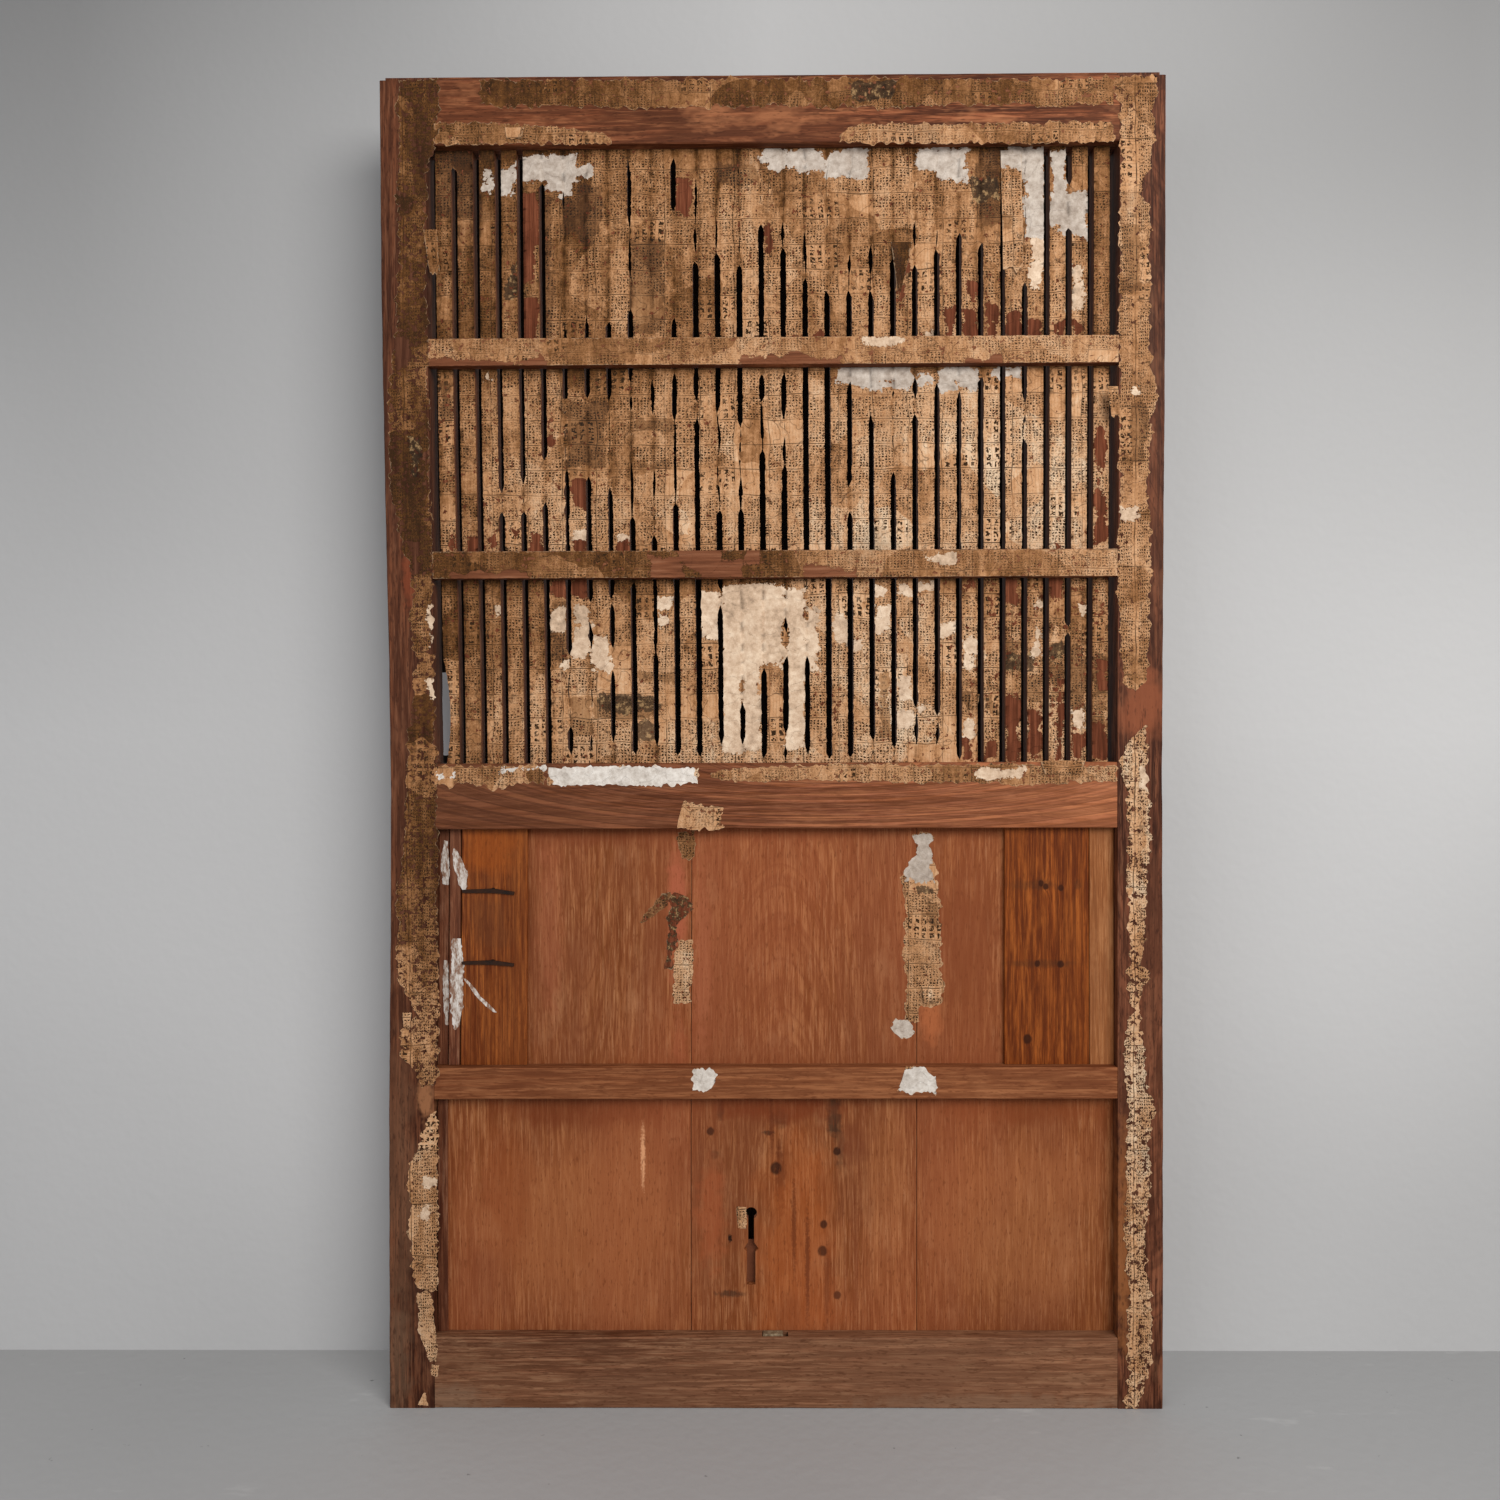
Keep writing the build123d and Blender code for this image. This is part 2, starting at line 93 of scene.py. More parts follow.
def mathNode(tree, operation, a, b=0.0, c=0.0, clamp=False):
    node = addNode(tree, "ShaderNodeMath", {0: a, 1: b, 2: c}, operation=operation, use_clamp=clamp)
    return node.outputs[0]


def vectorMath(tree, operation, inputs, output=0):
    return addNode(tree, "ShaderNodeVectorMath", inputs, operation=operation).outputs[output]


def axesOf(tree, vector):
    node = addNode(tree, "ShaderNodeSeparateXYZ", {"Vector": vector})
    return [node.outputs[axis] for axis in "XYZ"]


def mapping(tree, coords, scale, offset):
    inputs = {"Vector": coords, "Scale": scale, "Location": offset}
    return addNode(tree, "ShaderNodeMapping", inputs).outputs[0]


def stretch(tree, scale=(1, 1, 1), offset=(0, 0, 0)):
    return mapping(tree, addNode(tree, "ShaderNodeTexCoord").outputs["Object"], scale, offset)


# pushes coordinates about by a soft noise, up to the amounts
def bend(tree, coords, scale, amounts):
    inputs = {"Vector": coords, "Scale": scale, "Detail": 1.0}
    wobble = addNode(tree, "ShaderNodeTexNoise", inputs).outputs["Color"]
    return vectorMath(tree, "MULTIPLY_ADD", {0: wobble, 1: amounts, 2: coords})


def noiseNode(tree, vector, scale, detail=3, roughness=0.55):
    inputs = {"Vector": vector, "Scale": scale, "Detail": detail, "Roughness": roughness}
    return addNode(tree, "ShaderNodeTexNoise", inputs).outputs["Fac"]


def ramp(tree, factor, stops):
    node = addNode(tree, "ShaderNodeValToRGB", {"Fac": factor})
    elements = node.color_ramp.elements
    for i, (place, colour) in enumerate(stops):
        element = elements[i] if i < 2 else elements.new(place)
        element.position = place
        element.color = linear(colour) if isinstance(colour, str) else (colour, colour, colour, 1)
    return node.outputs["Color"]


def blendColour(tree, factor, a, b):
    node = addNode(tree, "ShaderNodeMix", data_type="RGBA")
    for name, value in (("Factor", factor), ("A", a), ("B", b)):
        kind = "VALUE" if name == "Factor" else "RGBA"
        socket = [s for s in node.inputs if s.name == name and s.type == kind][0]
        if isinstance(value, bpy.types.NodeSocket):
            tree.links.new(value, socket)
        else:
            socket.default_value = linear(value) if isinstance(value, str) else value
    return [s for s in node.outputs if s.type == "RGBA"][0]


# the colour laid over the tint, where share is high and no thicker than depth
def layOver(tree, tint, share, depth, colour):
    return blendColour(tree, mathNode(tree, "MULTIPLY", share, depth), tint, colour)


def finishSurface(tree, colour, roughness, height, bumpDepth):
    bump = addNode(tree, "ShaderNodeBump", {"Height": height, "Distance": bumpDepth, "Strength": 1.0})
    surface = addNode(tree, "ShaderNodeBsdfPrincipled", {
        "Base Color": colour, "Roughness": roughness, "Normal": bump.outputs[0], "IOR": 1.45,
        "Specular IOR Level": 0.14,
    })
    addNode(tree, "ShaderNodeOutputMaterial", {"Surface": surface.outputs[0]})


# wood: growth rings as contour lines of a slow noise, fibres, knots, stains and pale wear

# distance on the leaf's face from a place given in mm, counted in radii of wide by tall metres
def ovalDistance(tree, coords, x, z, wide, tall):
    local = mapping(tree, coords, (1 / wide, 0, 1 / tall), (-x * mm / wide, 0, -z * mm / tall))
    return vectorMath(tree, "LENGTH", {0: local}, "Value")


# 1 in the middle of an oval on the leaf's face, 0 outside; places and radii in mm
def spot(tree, coords, x, z, radiusX, radiusZ, ragged=0.0):
    distance = ovalDistance(tree, coords, x, z, radiusX * mm, radiusZ * mm)
    if ragged:
        lumps = noiseNode(tree, coords, 1 / (min(radiusX, radiusZ) * mm), 2, 0.6)
        push = mathNode(tree, "SUBTRACT", lumps, 0.5)
        distance = mathNode(tree, "MULTIPLY_ADD", push, 2 * ragged, distance)
    return mathNode(tree, "SUBTRACT", 1.0, distance, clamp=True)


# what a wood has where its own dictionary says nothing
# rings: ringMm apart, thin where ringSharp is high, bent by figure, and round the heart where one is given
anyWood = {
    "place": (0, 0, 0), "ringMm": 7, "ringSharp": 16.0, "figure": 0.09, "figureScale": 5.0, "waver": 1.6,
    "streakScale": 190, "ringDepth": 0.35, "poreDepth": 0.6, "paleDepth": 0.45, "fleckDepth": 0.35,
    "stainScale": 8, "stainDepth": 0.5, "wearDepth": 0.3, "glowScale": 3.5, "glowDepth": 0.3,
    "balance": (1.0, 0.95, 0.8), "rightLift": 0.0, "roughness": 0.5, "bump": 0.6, "knots": (), "marks": (),
}


# coordinates drawn out along the grain, more so for a small squeeze
def alongGrain(tree, look, squeeze):
    scale = (squeeze, 1, 1) if look["along"] == "x" else (1, 1, squeeze)
    return stretch(tree, scale, look["place"])


def grainParts(tree, look):
    coords = alongGrain(tree, look, 0.13)
    plain = stretch(tree)
    wander = noiseNode(tree, coords, look["figureScale"], 1.2, 0.35)
    axes = axesOf(tree, coords)
    across = axes[2] if look["along"] == "x" else axes[0]
    if "heart" in look:
        across = ovalDistance(tree, plain, *look["heart"])
    lines = mathNode(tree, "MULTIPLY_ADD", wander, look["figure"], across)
    lines = mathNode(tree, "MULTIPLY_ADD", axes[1], 0.6, lines)
    knotShare = 0.0
    for x, z, radius in look["knots"]:
        swirl = mathNode(tree, "POWER", spot(tree, plain, x, z, radius * 3.2, radius * 8), 2.0)
        lines = mathNode(tree, "MULTIPLY_ADD", swirl, radius * 2.2 * mm, lines)
        core = spot(tree, plain, x, z, radius * 1.5, radius * 1.7, 0.2)
        knotShare = mathNode(tree, "MAXIMUM", knotShare, mathNode(tree, "MULTIPLY", core, 3.0, clamp=True))
    fibreCoords = alongGrain(tree, look, 0.05)
    fibres = noiseNode(tree, fibreCoords, 390, 2.5, 0.7)
    streaks = noiseNode(tree, fibreCoords, look["streakScale"], 3, 0.7)
    lines = mathNode(tree, "MULTIPLY_ADD", streaks, look["waver"] * mm, lines)
    years = mathNode(tree, "DIVIDE", lines, look["ringMm"] * mm)
    inputs = {"W": years, "Scale": 1.0, "Detail": 2.0, "Roughness": 0.6}
    bands = addNode(tree, "ShaderNodeTexNoise", inputs, noise_dimensions="1D").outputs["Fac"]
    # late wood is a thin dark line where the noise passes its middle
    late = mathNode(tree, "ABSOLUTE", mathNode(tree, "SUBTRACT", bands, 0.5))
    late = mathNode(tree, "MULTIPLY_ADD", late, -look["ringSharp"], 1.0, clamp=True)
    rings = mathNode(tree, "MAXIMUM", late, ramp(tree, bands, [(0.45, 0.0), (0.7, 0.7)]))
    return rings, fibres, streaks, knotShare


def woodMaterial(ownLook):
    look = {**anyWood, **ownLook}
    material, tree = newMaterial(look["name"])
    rings, fibres, streaks, knotShare = grainParts(tree, look)
    plain = stretch(tree)
    stainCoords = alongGrain(tree, look, 0.4)
    tint = ramp(tree, streaks, [(0.41, look["dark"]), (0.5, look["mid"]), (0.59, look["light"])])
    pores = ramp(tree, fibres, [(0.5, 0.0), (0.6, 1.0)])
    paleFibres = ramp(tree, fibres, [(0.34, 1.0), (0.46, 0.0)])
    blotches = noiseNode(tree, stainCoords, look["stainScale"], 3.5, 0.62)
    stains = ramp(tree, blotches, [(0.42, 0.0), (0.62, 1.0)])
    wear = ramp(tree, noiseNode(tree, stainCoords, 21, 4, 0.7), [(0.55, 0.0), (0.68, 1.0)])
    for share, depth, colour in (
        (rings, "ringDepth", "ring"), (pores, "poreDepth", "ring"), (paleFibres, "paleDepth", "pale"),
        (stains, "stainDepth", "stain"), (wear, "wearDepth", "pale"),
    ):
        tint = layOver(tree, tint, share, look[depth], look[colour])
    for x, z, radiusX, radiusZ, colour, depth in look["marks"]:
        share = mathNode(tree, "MULTIPLY", spot(tree, plain, x, z, radiusX, radiusZ, 0.7), 1.8, clamp=True)
        tint = layOver(tree, tint, share, depth, colour)
    tint = layOver(tree, tint, knotShare, 0.85, "#2a130b")
    glow = ramp(tree, noiseNode(tree, stainCoords, look["glowScale"], 1.5, 0.5), [(0.42, 0.0), (0.62, 1.0)])
    tint = layOver(tree, tint, glow, look["glowDepth"], look.get("glow", look["light"]))
    flecks = noiseNode(tree, alongGrain(tree, look, 0.22), 330, 2, 0.7)
    fleckShare = ramp(tree, flecks, [(0.56, 0.0), (0.68, 1.0)])
    tint = layOver(tree, tint, fleckShare, look["fleckDepth"], look["ring"])
    tint = vectorMath(tree, "MULTIPLY", {0: tint, 1: look["balance"]})
    if look["rightLift"]:    # paler towards the right, full at 0.45 m from the middle
        factor = mathNode(tree, "MULTIPLY_ADD", axesOf(tree, plain)[0], look["rightLift"] / 0.45, 1.0)
        tint = vectorMath(tree, "SCALE", {0: tint, "Scale": factor})
    height = mathNode(tree, "MULTIPLY", fibres, -0.9)
    roughness = mathNode(tree, "MULTIPLY_ADD", streaks, 0.25, look["roughness"])
    finishSurface(tree, tint, roughness, height, look["bump"] * mm)
    return material


zelkova = {"ringMm": 14, "figureScale": 4.5, "poreDepth": 0.7, "fleckDepth": 0.55,
           "balance": (1.04, 0.98, 0.84)}
uprightLook = {
    **zelkova, "along": "z", "figure": 0.15, "dark": "#3f2013", "mid": "#5a3322", "light": "#714430",
    "pale": "#8a5f4a", "ring": "#2a120a", "stain": "#2c160e", "ringDepth": 0.55, "stainDepth": 0.5,
}
levelLook = {**zelkova, "along": "x", "figure": 0.3, "ringDepth": 0.75}
frameWoods = {
    "left_stile": {
        **uprightLook, "name": "weathered zelkova, left stile",
        "marks": [(-496, 1330, 9, 42, "#8c3d22", 0.7), (-480, 1110, 12, 60, "#7a3a24", 0.7),
                  (-500, 300, 30, 260, "#6a4c3c", 0.5), (-463, 412, 14, 34, "#936549", 0.9),
                  (-505, 60, 26, 90, "#6d5648", 0.45)],
    },
    "right_stile": {
        **uprightLook, "name": "weathered zelkova, right stile", "place": (0.4, 0, 0.3), "figure": 0.08,
        "heart": (480, 900, 1, 5),
        "mid": "#63392a", "light": "#7d4c38",
        "marks": [(488, 930, 34, 60, "#8a4f37", 0.75), (478, 980, 26, 30, "#8a4f37", 0.6),
                  (500, 660, 26, 140, "#3b2118", 0.6), (462, 230, 14, 190, "#8a5734", 0.8)],
    },
    "top_rail": {
        **levelLook, "name": "weathered zelkova, top rail", "dark": "#4f2817", "mid": "#6c3b24",
        "light": "#875038", "pale": "#b07655", "ring": "#381a0c", "stain": "#3c1f12", "rightLift": 0.12,
        "stainDepth": 0.75, "wearDepth": 0.6,
    },
    "middle_rail": {
        **levelLook, "name": "weathered zelkova, middle rail", "place": (0.2, 0, 0.37), "dark": "#764429",
        "mid": "#85503a", "light": "#935d40", "pale": "#a8735a", "ring": "#3a1a0b", "stain": "#5f3623",
        "rightLift": 0.42, "stainDepth": 0.3, "heart": (60, 868, 2.4, 0.45), "figure": 0.05,
        "figureScale": 6, "balance": (1.17, 1.11, 0.97), "ringMm": 17, "ringSharp": 11.0, "poreDepth": 0.35,
        "wearDepth": 0.12, "fleckDepth": 0.2, "paleDepth": 0.2,
    },
    "panel_rail": {
        **levelLook, "name": "weathered zelkova, panel rail", "place": (0.9, 0, 0.11), "dark": "#6d3c24",
        "mid": "#824e33", "light": "#925e40", "pale": "#a67252", "ring": "#5b2f1a", "stain": "#6a3f29",
        "rightLift": 0.08, "stainDepth": 0.3, "ringMm": 9,
    },
    "bottom_rail": {
        **levelLook, "name": "weathered zelkova, bottom rail", "place": (0.6, 0, 0.73), "dark": "#5f3a29",
        "mid": "#764c38", "light": "#88604a", "pale": "#9b7860", "ring": "#4a2a1a", "stain": "#5c3e31",
        "rightLift": 0.08, "stainDepth": 0.5, "balance": (1.1, 1.06, 0.93),
        "marks": [(-430, 12, 60, 22, "#7d6a5d", 0.5), (300, 8, 240, 14, "#7d6a5d", 0.35)],
    },
}
for node in ("lattice_rail_lower", "lattice_rail_upper"):
    frameWoods[node] = {**frameWoods["top_rail"], "name": f"weathered zelkova, {node.replace('_', ' ')}"}
barWood = woodMaterial({
    "name": "old cedar bars", "along": "z", "dark": "#4a2213", "mid": "#70402a", "light": "#8f5b40",
    "pale": "#a87a5c", "ring": "#3c1a0e", "stain": "#2c1409", "ringMm": 5, "figure": 0.03, "ringDepth": 0.5,
    "stainDepth": 0.35,
})
plankLook = {
    "along": "z", "dark": "#73401f", "mid": "#8b5434", "light": "#9b6643", "pale": "#b07f5e",
    "ring": "#6a351a", "stain": "#74412a", "ringMm": 13, "ringDepth": 0.6, "stainDepth": 0.6,
    "wearDepth": 0.25, "streakScale": 170, "figureScale": 3.6, "balance": (1.07, 1.02, 0.9),
    "fleckDepth": 0.6, "glow": "#a3593a", "glowDepth": 0.3,
}
smudge = "#33241b"
boardWoods = {
    "board_left": {
        **plankLook, "name": "planed cedar plank, left", "place": (0.31, 0, 0.2),
        "heart": (-250, 900, 1, 9), "figure": 0.12,
        "marks": [(-130, 640, 16, 120, "#a0583f", 0.5), (-128, 480, 13, 40, "#a0583f", 0.3),
                  (-300, 650, 22, 150, "#9c5c42", 0.35), (-200, 130, 120, 60, "#7c4a33", 0.2),
                  (-250, 240, 190, 150, "#a0653f", 0.45), (-129, 682, 17, 78, "#a35a44", 0.7),
                  # the wide dark bands at z 400 and z 772, just under the rails, are dirt with painted
                  # shadow of the rails
                  (-177, 331, 4, 52, "#d9a480", 1.0), (-250, 400, 190, 40, "#683018", 0.6),
                  (-250, 772, 190, 30, "#70381f", 0.6), (-360, 300, 40, 130, "#7a3d1c", 0.5)],
    },
    "board_centre": {
        **plankLook, "name": "planed cedar plank, centre", "place": (0.77, 0, 0.5), "heart": (16, 70, 1, 5),
        "figure": 0.1,
        "knots": [(2, 314, 6), (-86, 364, 4), (66, 238, 4), (64, 202, 5), (84, 142, 4), (84, 337, 4)],
        "marks": [
            (8, 300, 8, 62, "#4c1f0d", 0.75), (7, 381, 14, 16, smudge, 0.5), (-8, 362, 10, 4, smudge, 0.9),
            (80, 385, 12, 36, smudge, 0.8), (88, 345, 9, 40, smudge, 0.45),
            (109, 345, 26, 34, "#6b3823", 0.6), (-81, 333, 8, 7, smudge, 0.4),
            (-60, 144, 24, 6, smudge, 0.7), (-60, 219, 3.2, 7, "#160d08", 1.0),
            (-72, 392, 6, 16, smudge, 0.6), (30, 200, 70, 190, "#a4572a", 0.45),
            (150, 260, 36, 150, "#a86c46", 0.3), (18, 110, 28, 44, "#5f2c14", 0.4),
            # the wide dark bands at z 398 and z 772, just under the rails, are dirt with painted shadow of
            # the rails
            (0, 398, 120, 26, "#6a2c12", 0.6), (30, 772, 140, 26, "#70381f", 0.5),
            (-85, 250, 26, 90, "#9c5232", 0.5), (-95, 600, 14, 170, "#a3644c", 0.35),
            (44, 180, 4, 96, "#52220e", 0.7), (-4, 374, 4, 50, "#52220e", 0.6),
            (70, 150, 5, 70, "#5e2c16", 0.5), (26, 236, 4, 80, "#52220e", 0.6),
            (-100, 330, 3, 90, "#5e2c16", 0.4), (110, 200, 4, 120, "#6a351c", 0.5),
        ],
    },
    "board_right": {
        **plankLook, "name": "planed cedar plank, right", "place": (0.12, 0, 0.9),
        "heart": (300, 420, 1, 7), "figure": 0.1, "mid": "#86502f", "light": "#96603d",
        "marks": [(262, 600, 40, 190, "#69371d", 0.6), (330, 110, 110, 40, "#7a4630", 0.2),
                  # the wide dark bands at z 400 and z 772, just under the rails, are dirt with painted
                  # shadow of the rails
                  (330, 250, 140, 150, "#9f6440", 0.45), (330, 400, 130, 34, "#713719", 0.6),
                  (258, 772, 60, 24, "#633218", 0.6), (210, 520, 18, 50, "#a8633f", 0.7)],
    },
}
boardWoods = {node: woodMaterial(look) for node, look in boardWoods.items()}
cedarLook = {
    "along": "z", "dark": "#5f2d12", "mid": "#7a401c", "light": "#8f5128", "pale": "#a66536",
    "ring": "#4a210d", "stain": "#5a2c14", "ringMm": 5.5, "figure": 0.035, "ringDepth": 0.6,
    "stainDepth": 0.3, "roughness": 0.42, "wearDepth": 0.15, "balance": (1.15, 0.98, 0.62),
}
cedarWoods = {
    "cedar_board_left": {
        **cedarLook, "name": "red cedar, left", "place": (0.5, 0, 0.2), "mid": "#784327",
        "light": "#885230",
        "marks": [(-380, 745, 50, 40, "#8b4a1e", 0.6), (-380, 650, 42, 60, "#5f3826", 0.5)],
    },
    "cedar_board_right": {
        **cedarLook, "name": "red cedar, right",
        "knots": [(356, 698, 3), (362, 694, 3), (382, 692, 3), (351, 591, 3), (382, 590, 3.4),
                  (338, 490, 4.5)],
        "marks": [(345, 696, 40, 9, smudge, 0.35), (355, 591, 55, 7, smudge, 0.35),
                  (404, 696, 6, 8, smudge, 0.4)],
    },
}
cedarWoods = {node: woodMaterial(look) for node, look in cedarWoods.items()}
paleWood = woodMaterial({
    "name": "pale softwood strip", "along": "z", "dark": "#7d4b2c", "mid": "#9a613c", "light": "#ad7650",
    "pale": "#c08c66", "ring": "#7d4826", "stain": "#7a4a30", "ringMm": 5, "figure": 0.02,
    "ringDepth": 0.35,
})
stripWood = woodMaterial({
    "name": "dark edging strip", "along": "z", "dark": "#5a3022", "mid": "#774633", "light": "#8d5b45",
    "pale": "#a67c68", "ring": "#47251a", "stain": "#4c2a1e", "ringMm": 5, "figure": 0.02,
})
boltWood = woodMaterial({
    "name": "worn oak bolt", "along": "z", "dark": "#5b4a3c", "mid": "#7d6b59", "light": "#9b8a78",
    "pale": "#b3a594", "ring": "#54463a", "stain": "#3a322a", "ringMm": 3, "figure": 0.01,
})


def ironMaterial(name, dark, rust, share):
    material, tree = newMaterial(name)
    coords = stretch(tree)
    patches = noiseNode(tree, coords, 60, 6, 0.7)
    grit = noiseNode(tree, coords, 900, 4, 0.7)
    rustShare = ramp(tree, patches, [(0.5 - share / 2, 0.0), (0.75 - share / 2, 1.0)])
    tint = blendColour(tree, rustShare, dark, rust)
    tint = layOver(tree, tint, grit, 0.3, "#120b08")
    roughness = mathNode(tree, "MULTIPLY_ADD", rustShare, 0.35, 0.5)
    finishSurface(tree, tint, roughness, mathNode(tree, "ADD", grit, patches), 0.35 * mm)
    return material


forgedIron = ironMaterial("forged iron", "#1d1815", "#3a2419", 0.35)
rustyIron = ironMaterial("rusted iron plate", "#4a2c1f", "#7c4a33", 0.7)


# aged newsprint: tone, bare wood, white sheets and a darker second layer
# are told by the sheet's own attributes

def attribute(tree, name):
    return addNode(tree, "ShaderNodeAttribute", attribute_name=name).outputs["Fac"]


# distance, in periods, from the middle of each repeat of this size
def phaseGap(tree, value, size):
    phase = mathNode(tree, "FRACT", mathNode(tree, "DIVIDE", value, size))
    return mathNode(tree, "ABSOLUTE", mathNode(tree, "SUBTRACT", phase, 0.5))


# illegible columns of print, rules between blocks and now and then a dark heading, all in mm
def printMarks(tree, look):
    coords = bend(tree, stretch(tree, (1000, 1000, 1000)), 0.02, (9.0, 0.0, 9.0))
    x, _, z = axesOf(tree, coords)
    if look["printTurned"]:
        x, z = z, x
    blockWide, blockTall = look["blockMm"]
    columnMm, letterMm = look["letterMm"]
    blockX = mathNode(tree, "FLOOR", mathNode(tree, "DIVIDE", x, blockWide))
    blockZ = mathNode(tree, "FLOOR", mathNode(tree, "DIVIDE", z, blockTall))
    block = addNode(tree, "ShaderNodeCombineXYZ", {"X": blockX, "Y": blockZ, "Z": 3.0}).outputs[0]
    chance = addNode(tree, "ShaderNodeTexWhiteNoise", {"Vector": block},
                     noise_dimensions="3D").outputs["Value"]

    def glyphs(size, columnShare, letterTall, letterShare, texture, limit):
        column = mathNode(tree, "LESS_THAN", phaseGap(tree, x, size), columnShare)
        letter = mathNode(tree, "LESS_THAN", phaseGap(tree, z, letterTall), letterShare)
        blots = mathNode(tree, "GREATER_THAN", noiseNode(tree, coords, *texture), limit)
        return mathNode(tree, "MULTIPLY", mathNode(tree, "MULTIPLY", column, letter), blots)

    small = glyphs(columnMm, 0.34, letterMm, 0.4, (0.56, 1, 0.5), 0.47)
    heading = glyphs(columnMm * 2.4, 0.3, letterMm * 2.6, 0.38, (0.3, 1.5, 0.6), 0.49)
    isHeading = mathNode(tree, "GREATER_THAN", chance, 0.9)
    letters = addNode(tree, "ShaderNodeMix",
                      {"Factor": isHeading, "A": small, "B": heading}).outputs["Result"]
    margin = mathNode(tree, "LESS_THAN", phaseGap(tree, z, blockTall), 0.44)
    printed = mathNode(tree, "MULTIPLY", margin, mathNode(tree, "GREATER_THAN", chance, 0.12))
    letters = mathNode(tree, "MULTIPLY", letters, printed)
    ruleX = mathNode(tree, "GREATER_THAN", phaseGap(tree, x, blockWide), 0.5 - 0.6 / blockWide)
    ruleZ = mathNode(tree, "GREATER_THAN", phaseGap(tree, z, blockTall), 0.5 - 0.7 / blockTall)
    rules = mathNode(tree, "MAXIMUM", ruleX, ruleZ)
    columnRules = mathNode(tree, "GREATER_THAN", phaseGap(tree, x, columnMm), 0.44)
    ink = mathNode(tree, "MAXIMUM", letters, mathNode(tree, "MULTIPLY", rules, 0.7))
    ink = mathNode(tree, "MAXIMUM", ink, mathNode(tree, "MULTIPLY", columnRules, 0.4))
    faded = ramp(tree, noiseNode(tree, coords, 0.035, 2, 0.6), [(0.35, 0.3), (0.55, 1.0)])
    return mathNode(tree, "MULTIPLY", ink, faded), chance


